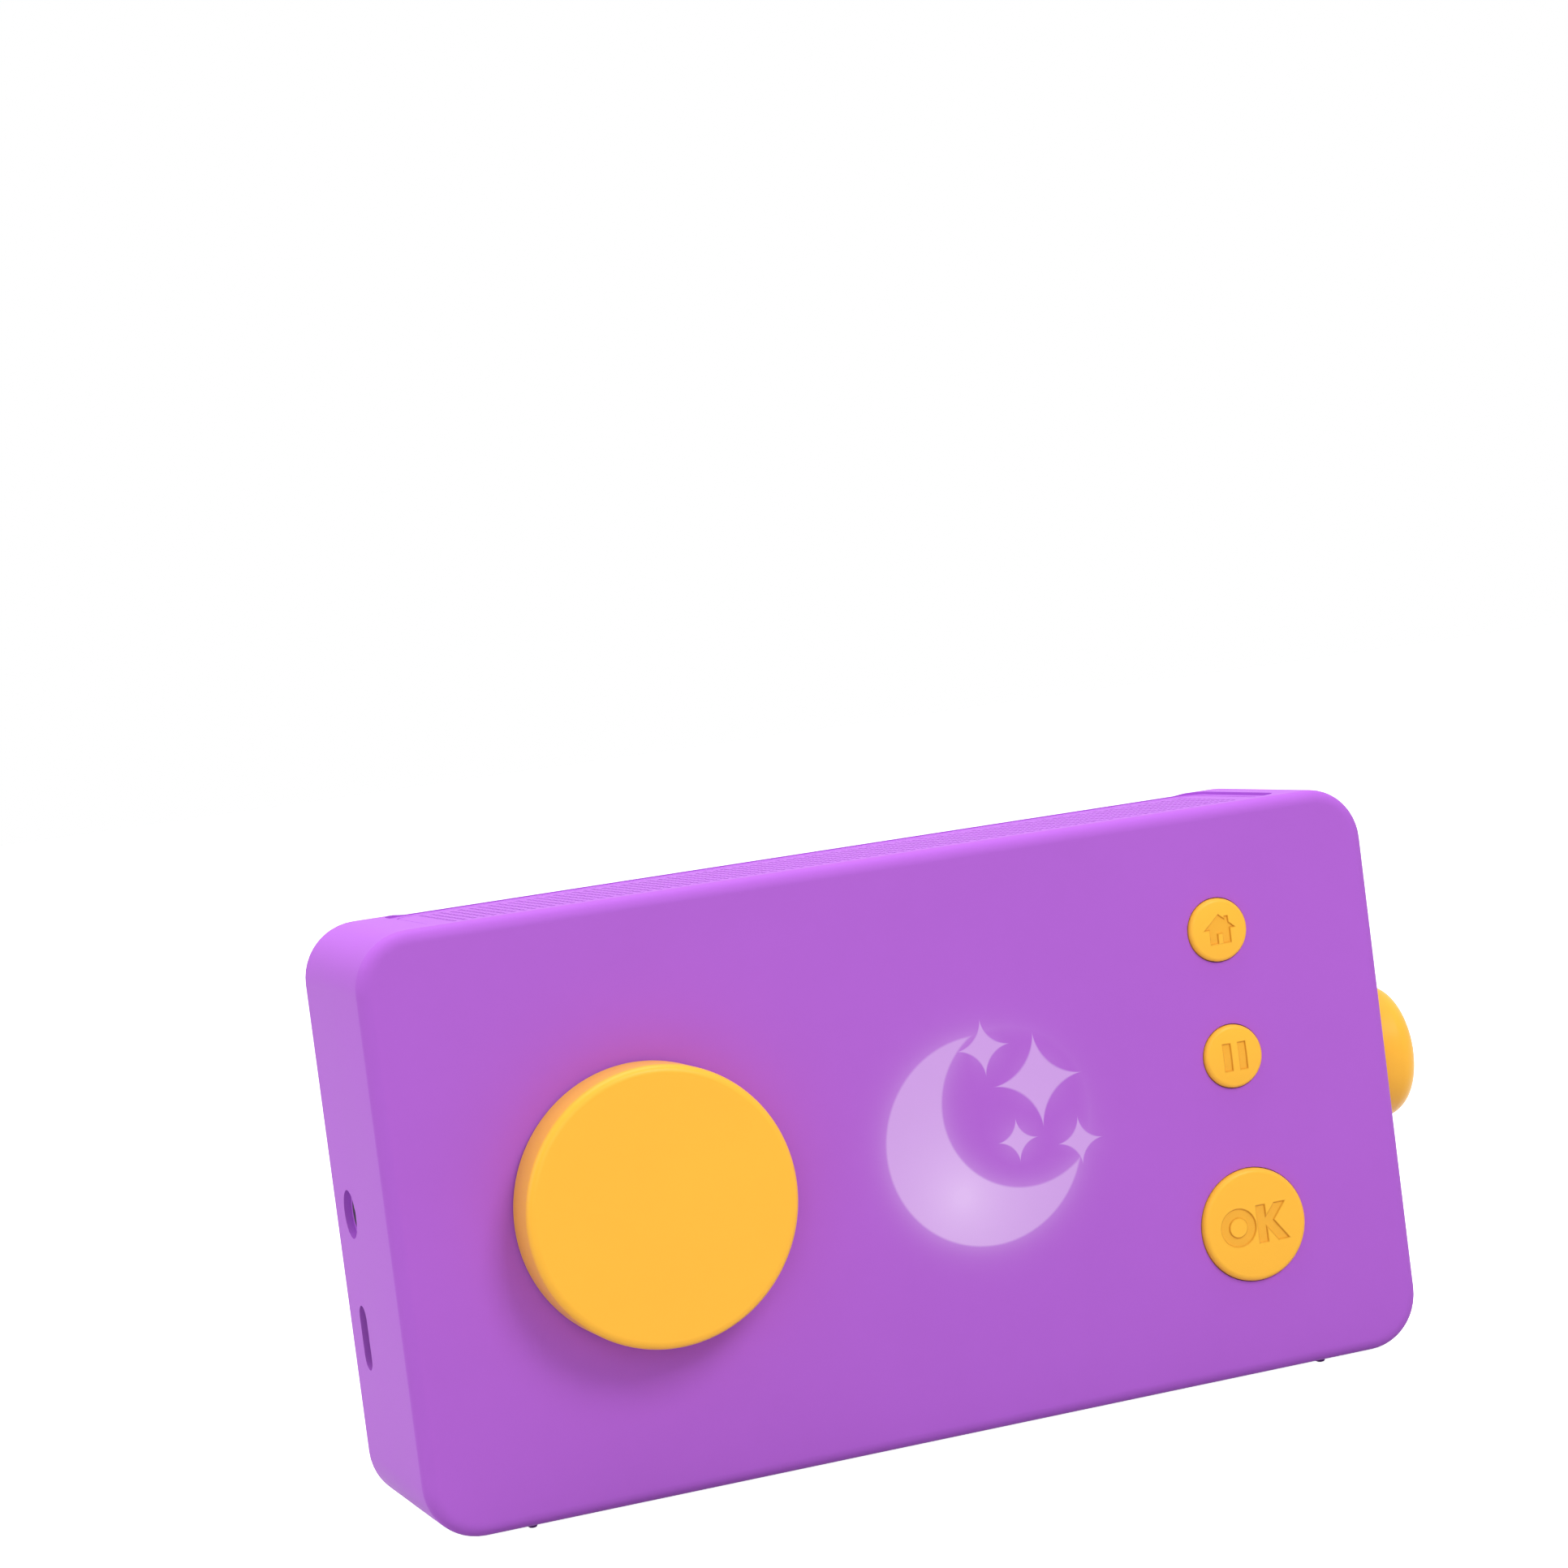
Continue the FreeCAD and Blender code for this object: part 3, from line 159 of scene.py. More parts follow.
class Signal:
    """A number inside a material; an expression on signals adds the Math nodes that work it out."""

    def __init__(self, finish, socket):
        self.finish = finish
        self.socket = socket

    def math(self, operation, *values):
        inputs = dict(enumerate(values))
        return self.finish.node("ShaderNodeMath", {"operation": operation}, inputs)

    def __add__(self, other):
        return self.math("ADD", self, other)

    def __sub__(self, other):
        return self.math("SUBTRACT", self, other)

    def __mul__(self, other):
        return self.math("MULTIPLY", self, other)

    def __truediv__(self, other):
        return self.math("DIVIDE", self, other)

    def __radd__(self, other):
        return self.math("ADD", other, self)

    def __rsub__(self, other):
        return self.math("SUBTRACT", other, self)

    def __rmul__(self, other):
        return self.math("MULTIPLY", other, self)

    def __rtruediv__(self, other):
        return self.math("DIVIDE", other, self)

    def __pow__(self, other):
        return self.math("POWER", self, other)

    def __abs__(self):
        return self.math("ABSOLUTE", self)

    def least(self, other):
        return self.math("MINIMUM", self, other)

    def most(self, other):
        return self.math("MAXIMUM", self, other)

    def between_0_and_1(self):
        return self.most(0.0).least(1.0)

    def root(self):
        return self.math("SQRT", self)

    def sine(self):
        return self.math("SINE", self)

    def falling(self, reach):
        """1 where the signal is 0 or less, falling off as e to the minus (signal / reach)."""
        return self.math("EXPONENT", self.most(0.0) * (-1.0 / reach))


class Finish:
    """One material: its Principled shader and the nodes that feed it."""

    def __init__(self, name, roughness, metallic=0.0, **sockets):
        self.material = bpy.data.materials.new(name)
        self.material.use_nodes = True
        self.tree = self.material.node_tree
        self.shader = self.tree.nodes["Principled BSDF"]
        self.feed("Roughness", roughness)
        self.feed("Metallic", metallic)
        for socket, value in sockets.items():
            self.feed(socket.replace("_", " "), value)
        self.place = self.node("ShaderNodeTexCoord", {}, {}, "Object")

    def link(self, socket, value):
        if isinstance(value, Signal):
            self.tree.links.new(value.socket, socket)
        else:
            socket.default_value = value

    def feed(self, socket, value):
        self.link(self.shader.inputs[socket], value)

    def node(self, kind, settings, inputs, output=0):
        """A node of a kind, with its settings made first and then its sockets' values or links."""
        node = self.tree.nodes.new(kind)
        for key, value in settings.items():
            if key == "stops":
                for stop, (position, colour) in zip(node.color_ramp.elements, value):
                    stop.position = position
                    stop.color = colour
            else:
                setattr(node, key, value)
        for key, value in inputs.items():
            self.link(node.inputs[key], value)
        return Signal(self, node.outputs[output])

    def mix(self, first, second, factor):
        """A colour between two colours."""
        return self.node("ShaderNodeMix", {"data_type": "RGBA"}, {0: factor, 6: first, 7: second}, 2)

    def noise(self, size_mm, detail=2.0, roughness=0.5):
        """Soft noise whose blotches are about size_mm across."""
        scale = 1000.0 / size_mm
        return self.node("ShaderNodeTexNoise", {}, {
            "Vector": self.place, "Scale": scale, "Detail": detail, "Roughness": roughness,
        })

    def place_mm(self, centre):
        """The three coordinates in millimetres from a centre in metres."""
        ends = {0: self.place, 1: tuple(centre)}
        moved = self.node("ShaderNodeVectorMath", {"operation": "SUBTRACT"}, ends)
        scaled = self.node("ShaderNodeVectorMath", {"operation": "SCALE"}, {0: moved, "Scale": 1000.0})
        parts = self.tree.nodes.new("ShaderNodeSeparateXYZ")
        self.link(parts.inputs[0], scaled)
        return [Signal(self, parts.outputs[axis]) for axis in range(3)]

    def bump(self, height, distance, strength=1.0):
        """Feeds the shader's normal with a height from 0 to 1 that stands for distance metres."""
        normal = self.node("ShaderNodeBump", {}, {
            "Height": height, "Distance": distance, "Strength": strength,
        })
        self.feed("Normal", normal)


def moulded(finish, light, dark, grain_mm=0.35, grain_depth=0.000004, cloud_mm=22.0):
    """Satin moulded plastic: faint clouds of colour and a spark-eroded grain; gives back the clouds, which
    its callers also use for slight changes of gloss.
    """
    clouds = finish.noise(cloud_mm, 3.0, 0.6)
    finish.feed("Base Color", finish.mix(dark, light, clouds))
    grain = finish.noise(grain_mm, 4.0, 0.7)
    finish.bump(grain, grain_depth)
    return clouds


def shaded(colour, factor):
    """A darker or lighter copy of a linear colour."""
    return tuple(channel * factor for channel in colour[:3]) + (1.0,)


purple = linear(172, 97, 204)
yellow = linear(249, 183, 57)
# Darker yellow of the painted shade in the pressed signs
recess_shade_yellow = linear(200, 128, 30)
case_roughness = 0.42
case_gloss = 0.02
control_roughness = 0.36
control_gloss = 0.22


def star_signal(across, up, centre, size, softness):
    """A four-pointed star: 1 where the bowed distances across and up add up to less than the bowed size."""
    left = abs(across - centre[0])
    height = abs(up - centre[1])
    reach = (left ** star_bow) + (height ** star_bow)
    inside = (size ** star_bow - reach) / softness + 0.5
    return inside.between_0_and_1()


def disc_distance(across, up, centre, radius):
    """How far a point lies outside a circle, in millimetres."""
    left = across - centre[0]
    height = up - centre[1]
    return (left * left + height * height).root() - radius


def case_finish():
    """Purple plastic of the case, with a moon and stars that glow through its front."""
    finish = Finish("satin_case", case_roughness, Specular_IOR_Level=case_gloss)
    clouds = moulded(finish, shaded(purple, 1.03), shaded(purple, 0.97))
    finish.feed("Roughness", case_roughness - 0.03 + clouds * 0.06)
    across, deep, up = finish.place_mm(middle("light_diffuser"))
    across = across / motif_size
    up = up / motif_size
    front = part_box("front_housing")[0][1]
    front_mm = (front - middle("light_diffuser")[1]) * 1000.0
    on_front = (front_mm + front_skin_mm - deep) * front_sharpness
    on_front = on_front.between_0_and_1()
    moon_outside = disc_distance(across, up, moon_centre, moon_radius)
    moon_hollow = hollow_radius - disc_distance(across, up, hollow_centre, 0.0)
    moon = moon_outside.most(moon_hollow)
    shine = ((0.0 - moon) / moon_softness + 0.5).between_0_and_1()
    halo = moon.falling(moon_halo_reach) * halo_share
    for centre, reach, core in stars:
        shine = shine.most(star_signal(across, up, centre, reach, star_softness))
        halo = halo.most(disc_distance(across, up, centre, core).falling(star_halo_reach) * halo_share)
    bright = disc_distance(across, up, bright_centre, bright_radius).falling(bright_reach)
    glow = shine.most(halo) * (bright * bright_share + 1.0) * on_front * glow_share
    finish.feed("Emission Color", finish.mix((0.0, 0.0, 0.0, 1.0), glow_colour, glow))
    finish.feed("Emission Strength", 1.0)
    return finish


def plain_plastic(name, colour, roughness, gloss=0.3):
    """Moulded plastic of one colour; gloss is the specular level."""
    finish = Finish(name, roughness, Specular_IOR_Level=gloss)
    clouds = moulded(finish, shaded(colour, 1.04), shaded(colour, 0.96))
    finish.feed("Roughness", roughness - 0.03 + clouds * 0.06)
    return finish


def control_finish():
    """Yellow plastic of the controls, with painted shade that makes it a little darker in the corners of the
    pressed signs.
    """
    finish = Finish("satin_control", control_roughness, Specular_IOR_Level=control_gloss)
    clouds = moulded(finish, shaded(yellow, 1.03), shaded(yellow, 0.97))
    recess_shade = finish.node("ShaderNodeAttribute", {"attribute_name": "recess_shade"}, {}, "Fac")
    flat = finish.mix(shaded(yellow, 0.97), shaded(yellow, 1.03), clouds)
    # Painted shade: the pressed signs' edges and floors take the darker yellow
    finish.feed("Base Color", finish.mix(flat, recess_shade_yellow, recess_shade * 0.7))
    finish.feed("Roughness", control_roughness - 0.03 + clouds * 0.06)
    return finish


def metal(name, colour, roughness, grain_mm=0.6):
    """Plated or brushed metal: fine stretched grain in its gloss and a faint unevenness."""
    finish = Finish(name, roughness, metallic=1.0)
    stretched = finish.node("ShaderNodeMapping", {}, {"Vector": finish.place, "Scale": (1.0, 1.0, 8.0)})
    grain = finish.node("ShaderNodeTexNoise", {}, {
        "Vector": stretched, "Scale": 1000.0 / grain_mm, "Detail": 3.0,
    })
    finish.feed("Base Color", finish.mix(shaded(colour, 0.9), shaded(colour, 1.06), grain))
    finish.feed("Roughness", roughness - 0.06 + grain * 0.12)
    finish.bump(grain, 0.000004)
    return finish


def woven(name, colour):
    """Fine dust cloth: two sets of threads as crossed waves."""
    finish = Finish(name, 0.9)
    across, deep, up = finish.place_mm((0.0, 0.0, 0.0))
    threads = (across * thread_turn).sine() * (deep * thread_turn).sine() * 0.5 + 0.5
    finish.feed("Base Color", finish.mix(shaded(colour, 0.5), colour, threads))
    finish.bump(threads, 0.00004)
    return finish


def board_finish():
    """Solder mask with a faint pattern of copper tracks beneath it."""
    finish = Finish("solder_mask", 0.3)
    across, deep, up = finish.place_mm((0.0, 0.0, 0.0))
    tracks = (across * track_turn[0] + up * track_turn[1]).sine()
    lines = (tracks * 6.0).between_0_and_1()
    finish.feed("Base Color", finish.mix(linear(10, 84, 46), linear(24, 116, 66), lines))
    finish.bump(lines, 0.00003)
    return finish


def make_finishes():
    """Every material slot of the record and the finish that it gets."""
    steel = linear(200, 200, 204)
    finishes = {
        "case_plastic": case_finish(),
        "cover_plastic": plain_plastic("satin_cover", purple, case_roughness, case_gloss),
        "grille_plastic": plain_plastic("satin_grille", purple, case_roughness, case_gloss),
        "control_plastic": control_finish(),
        "foot_rubber": plain_plastic("soft_rubber", linear(120, 66, 150), 0.75),
        "screw_steel": plain_plastic("black_coated_steel", linear(66, 66, 70), 0.42),
        "basket_steel": plain_plastic("black_enamel", linear(34, 34, 36), 0.3),
        "magnet": plain_plastic("sintered_ferrite", linear(52, 52, 56), 0.55),
        "cone_paper": plain_plastic("pressed_paper", linear(30, 30, 33), 0.85),
        "foam": plain_plastic("closed_cell_foam", linear(34, 34, 35), 0.95),
        "cloth": woven("dust_cloth", linear(74, 34, 92)),
        "board_green": board_finish(),
        "chip_black": plain_plastic("epoxy_moulding", linear(26, 26, 28), 0.5),
        "socket_white": plain_plastic("natural_nylon", linear(226, 222, 210), 0.45),
        "diffuser_white": plain_plastic("milky_diffuser", linear(238, 234, 246), 0.25),
        "shroud_white": plain_plastic("reflective_white", linear(240, 240, 240), 0.5),
        "lamp": plain_plastic("lamp_epoxy", linear(250, 238, 180), 0.2),
        "control_metal": metal("nickel_plated", steel, 0.25),
        "switch_black": plain_plastic("black_nylon", linear(30, 30, 32), 0.5),
        "plunger_white": plain_plastic("white_acetal", linear(224, 224, 218), 0.4),
        "jack_black": plain_plastic("jack_nylon", linear(28, 28, 31), 0.45),
        "socket_steel": metal("stamped_steel", steel, 0.28),
        "cell_wrap": plain_plastic("shrink_wrap", linear(40, 104, 170), 0.25),
        "lead_black": plain_plastic("lead_jacket", linear(30, 30, 33), 0.55),
    }
    return {slot: finish.material for slot, finish in finishes.items()}


def dress_nodes(materials):
    """Gives every CAD node the finish of its slot."""
    for part in frame["record"]["subparts"]:
        piece = nodes[part["node"]]
        piece.data.materials.clear()
        piece.data.materials.append(materials[part["material_slot"]])


def put_piece(name, points, faces, slot, body, replaced, sharp_degrees=30.0):
    """Makes a smooth shaded piece from points and faces, hangs it under its body's empty and hides the CAD
    node that it replaces.
    """
    mesh = bpy.data.meshes.new(name)
    mesh.from_pydata(points.tolist(), [], faces)
    mesh.validate()
    mesh.polygons.foreach_set("use_smooth", np.ones(len(mesh.polygons), bool))
    mesh.set_sharp_from_angle(angle=math.radians(sharp_degrees))
    piece = bpy.data.objects.new(name, mesh)
    bpy.context.scene.collection.objects.link(piece)
    weighted = piece.modifiers.new("even_shading", "WEIGHTED_NORMAL")
    weighted.keep_sharp = True
    mesh.materials.append(materials[slot])
    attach(piece, body)
    if replaced:
        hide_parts(replaced)
    return piece


def grid_faces(rows, columns, closed):
    """Quads between neighbouring rows of a grid; closed joins the last column to the first."""
    last = columns if closed else columns - 1
    row, column = np.meshgrid(np.arange(rows - 1), np.arange(last), indexing="ij")
    beside = (column + 1) % columns
    quads = np.stack([
        row * columns + column, row * columns + beside,
        (row + 1) * columns + beside, (row + 1) * columns + column,
    ], axis=-1)
    return quads.reshape(-1, 4).tolist()


def merged(points, faces):
    """Joins points that lie within a micron of each other."""
    keys = np.round(points / (MM * MM)).astype(np.int64)
    _, first, shared = np.unique(keys, axis=0, return_index=True, return_inverse=True)
    shared = shared.reshape(-1)
    return points[first], [[int(shared[corner]) for corner in face] for face in faces]


def merged_copy(node, name, slot, body):
    """A copy of a CAD node with its loose triangles joined, so that its round faces shade smoothly."""
    source = nodes[node].data
    places = np.zeros(len(source.vertices) * 3)
    source.vertices.foreach_get("co", places)
    corners = np.zeros(len(source.loops), int)
    source.loops.foreach_get("vertex_index", corners)
    points, triangles = merged(places.reshape(-1, 3), corners.reshape(-1, 3).tolist())
    triangles = [face for face in triangles if len(set(face)) == 3]
    return put_piece(name, points, triangles, slot, body, node, 24.0)


def outward(points, faces):
    """Turns every face round if the closed surface's volume comes out negative."""
    fans = [(face[0], face[step], face[step + 1]) for face in faces for step in range(1, len(face) - 1)]
    first, second, third = points[np.array(fans)].transpose(1, 0, 2)
    volume = np.sum(first * np.cross(second, third))
    return [face[::-1] for face in faces] if volume < 0 else faces


def arc(centre, radius, start, end, steps):
    """Points of (along radius, along axis) on an arc between two angles in degrees."""
    angles = np.radians(np.linspace(start, end, steps))
    return np.stack([centre[0] + radius * np.cos(angles), centre[1] + radius * np.sin(angles)], axis=1)


def turned(profile, centre, axis, segments=192):
    """A closed solid of revolution: each profile point (radius, height) goes round the centre's axis.

    The first and last profile points lie on the axis and become the two poles.
    """
    angle = np.linspace(0.0, 2 * np.pi, segments, endpoint=False)
    radius = profile[1:-1, 0][:, None]
    height = np.repeat(profile[1:-1, 1][:, None], segments, axis=1)
    ring = [radius * np.cos(angle), radius * np.sin(angle)]
    if axis == "x":
        grid = np.stack([height, ring[0], ring[1]], axis=-1)
        poles = [[profile[0, 1], 0, 0], [profile[-1, 1], 0, 0]]
    else:
        grid = np.stack([ring[0], height, ring[1]], axis=-1)
        poles = [[0, profile[0, 1], 0], [0, profile[-1, 1], 0]]
    rows = len(profile) - 2
    points = np.vstack([grid.reshape(-1, 3), poles]) + centre
    faces = grid_faces(rows, segments, True)
    first_pole = rows * segments
    last = (rows - 1) * segments
    step = np.arange(segments)
    beside = np.roll(step, -1)
    faces += np.stack([np.full(segments, first_pole), beside, step], axis=1).tolist()
    faces += np.stack([np.full(segments, first_pole + 1), last + step, last + beside], axis=1).tolist()
    return points, outward(points, faces)


def disc_points(cells):
    """A square grid drawn into a disc of radius 1: each side bends out by the ellipse rule."""
    line = np.linspace(-1.0, 1.0, cells + 1)
    across, up = np.meshgrid(line, line, indexing="ij")
    return across * np.sqrt(1 - up ** 2 / 2), up * np.sqrt(1 - across ** 2 / 2)


def rim_of_grid(cells):
    """Indices of a square grid's outer points, in order round it."""
    count = cells + 1
    index = np.arange(count * count).reshape(count, count)
    return np.concatenate([index[:-1, 0], index[-1, :-1], index[:0:-1, -1], index[0, :0:-1]])


def faced_disc(height_at, top_radius, profile, cells):
    """A turned solid whose front is a fine grid, so that signs can be pressed into it.

    height_at(across, up) gives the height over the front disc. The profile holds (radius, height) from the
    disc's rim round to the back, where the last point lies on the axis. The front looks along -y, and the
    axis is x = z = 0.
    """
    across, up = disc_points(cells)
    across = across * top_radius
    up = up * top_radius
    front = np.stack([across, height_at(across, up), up], axis=-1).reshape(-1, 3)
    faces = grid_faces(cells + 1, cells + 1, False)
    rim = rim_of_grid(cells)
    around = front[rim] / top_radius
    rings = [np.stack([around[:, 0] * radius, np.full(len(rim), height), around[:, 2] * radius], axis=1)
             for radius, height in profile[:-1]]
    points = np.vstack([front] + rings + [[[0.0, profile[-1][1], 0.0]]])
    size = len(rim)
    loops = [rim] + [len(front) + step * size + np.arange(size) for step in range(len(rings))]
    for before, after in zip(loops, loops[1:]):
        faces += np.stack([np.roll(before, -1), before, after, np.roll(after, -1)], axis=1).tolist()
    pole = len(points) - 1
    faces += [[int(one), pole, int(other)] for one, other in zip(loops[-1], np.roll(loops[-1], -1))]
    return points, outward(points, faces)


def block_distance(across, up, centre, half_width, half_height):
    """Distance outside a rectangle, below 0 inside it."""
    return np.maximum(abs(across - centre[0]) - half_width, abs(up - centre[1]) - half_height)


def stroke_distance(across, up, start, end, half_width):
    """Distance outside a straight stroke of endless length through two points."""
    direction = np.array(end) - np.array(start)
    direction = direction / np.hypot(*direction)
    return abs((across - start[0]) * direction[1] - (up - start[1]) * direction[0]) - half_width


def pause_sign(across, up):
    """Two upright bars."""
    return block_distance(abs(across), up, (1.47, 0.0), 0.72, 2.4)


def home_sign(across, up):
    """A plain house: a square body, a pitched roof that stands over it, a chimney and a door."""
    roof = np.maximum(abs(across) * 0.78 + (up - 2.75) * 0.9, 0.25 - up)
    body = block_distance(across, up, (0.0, -0.9), 1.95, 1.45)
    chimney = block_distance(across, up, (1.45, 1.55), 0.32, 0.75)
    door = block_distance(across, up, (0.0, -1.55), 0.52, 0.95)
    return np.maximum(np.minimum(np.minimum(roof, body), chimney), -door)


def ok_sign(across, up):
    """The letters O and K from a ring and plain strokes."""
    ring = abs(np.hypot(across + 3.35, up) - 2.55) - 0.8
    stem = block_distance(across, up, (1.25, 0.0), 0.85, 3.3)
    high_arm = np.maximum(stroke_distance(across, up, (2.0, -0.3), (5.0, 3.3), 0.8), -0.3 - up)
    low_arm = np.maximum(stroke_distance(across, up, (2.4, 0.5), (5.2, -3.3), 0.85), up - 0.6)
    arms = np.maximum(np.minimum(high_arm, low_arm), np.maximum(1.25 - across, abs(up) - 3.3))
    return np.minimum(np.minimum(ring, stem), arms)


def pressed(sign, across, up):
    """How deep a sign is pressed in at each point, with slightly sloping walls, in metres."""
    distance = sign(across / MM, up / MM) * MM
    return sign_depth * np.clip(0.5 - distance / sign_wall, 0.0, 1.0)


def paint_recess_shade(piece, sign, centre, front):
    """Stores how close each point of the front lies to a sign's edge, as painted shade for the finish to
    darken the sign with.
    """
    places = np.zeros(len(piece.data.vertices) * 3)
    piece.data.vertices.foreach_get("co", places)
    across, deep, up = (places.reshape(-1, 3) - centre).T
    distance = sign(across / MM, up / MM) * MM
    # Painted shade: strongest at a sign's edge, weaker over its floor, only in front of the case
    inside = (distance < 0) * sign_floor_shade
    painted_shade = np.maximum(np.clip(1.0 - abs(distance) / sign_shade_width, 0.0, 1.0), inside) * (deep < front)
    piece.data.attributes.new("recess_shade", "FLOAT", "POINT").data.foreach_set("value", painted_shade)


def add_button(name, sign, cells, edge, crown):
    """A push button's cap: crowned front with its sign, rounded edge, flange and stem."""
    low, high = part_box(name + "_button")
    centre = middle(name + "_button")
    front = low[1] - centre[1]
    back = high[1] - centre[1]
    flange_radius = (high[0] - low[0]) / 2
    radius = flange_radius - button_flange
    case_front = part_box("front_housing")[0][1] - centre[1]
    flange_front = case_front + button_flange_depth
    flange_back = flange_front + button_flange_thickness
    slope = math.atan(2 * crown / (radius - edge))
    top_radius = radius - edge * (1 - math.sin(slope))

    def height_at(across, up):
        reach = np.hypot(across, up) / top_radius
        return front + crown * reach ** 2 + pressed(sign, across, up)

    edge_centre = (radius - edge, front + crown + edge * math.cos(slope))
    profile = arc(edge_centre, edge, math.degrees(slope) - 90.0, 0.0, 12)[1:].tolist()
    profile += [[radius, flange_front], [flange_radius, flange_front], [flange_radius, flange_back]]
    profile += [[button_stem_radius, flange_back], [button_stem_radius, back], [0.0, back]]
    points, faces = faced_disc(height_at, top_radius, profile, cells)
    piece = put_piece(name + "_cap", points + centre, faces, "control_plastic", name, name + "_button")
    paint_recess_shade(piece, sign, centre, case_front)


def add_dial():
    """The selector dial: a flat face with a round edge, a hollow back and a hub."""
    low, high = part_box("dial_cap")
    centre = middle("dial_cap")
    front = low[1] - centre[1]
    back = high[1] - centre[1]
    radius = (high[0] - low[0]) / 2
    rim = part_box("front_housing")[0][1] - dial_gap - centre[1]
    lip = control_lip_radius
    inside = radius - control_wall
    floor = front + control_wall
    profile = np.vstack([
        [[0.0, front], [radius * 0.5, front]],
        arc((radius - dial_edge, front + dial_edge), dial_edge, -90.0, 0.0, 15),
        arc((radius - lip, rim - lip), lip, 0.0, 90.0, 4),
        arc((inside + lip, rim - lip), lip, 90.0, 180.0, 4),
        [[inside, floor], [dial_hub, floor], [dial_hub, back], [0.0, back]],
    ])
    points, faces = turned(profile, centre, "y", 256)
    put_piece("dial_body", points, faces, "control_plastic", "dial", "dial_cap")


def add_knob():
    """The volume knob: a well rounded front, a hollow back and a hub."""
    low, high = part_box("volume_knob")
    centre = middle("volume_knob")
    front = high[0] - centre[0]
    back = low[0] - centre[0]
    radius = (high[1] - low[1]) / 2
    lip = control_lip_radius
    inside = radius - control_wall
    floor = front - control_wall
    hub_back = back + knob_hub_setback
    profile = np.vstack([
        [[0.0, front], [(radius - knob_edge) * 0.6, front - 0.02 * MM]],
        arc((radius - knob_edge, front - knob_edge), knob_edge, 88.0, 0.0, 21),
        arc((radius - lip, back + lip), lip, 0.0, -90.0, 4),
        [[inside, back], [inside, floor], [knob_hub, floor], [knob_hub, hub_back], [0.0, hub_back]],
    ])
    points, faces = turned(profile, centre, "x", 192)
    put_piece("knob_body", points, faces, "control_plastic", "volume", "volume_knob")


def rounded_loop(field, half, radius):
    """Moves the points of a rectangle's outline onto a rectangle with round corners.

    The long sides take the corners with them: a point's x is scaled, and its y follows the straight side and
    then the circle of the corner.
    """
    inner = np.abs(field).max(axis=0)
    on_long = np.isclose(np.abs(field[:, 1]), inner[1])
    x = np.where(on_long, field[:, 0] * half[0] / inner[0], np.sign(field[:, 0]) * half[0])
    past = np.clip(np.abs(x) - (half[0] - radius), 0.0, radius)
    curve = half[1] - radius + np.sqrt(np.clip(radius ** 2 - past ** 2, 0.0, None))
    y = np.where(on_long, np.sign(field[:, 1]) * curve, field[:, 1] * (half[1] - radius) / inner[1])
    return np.stack([x, y], axis=1)


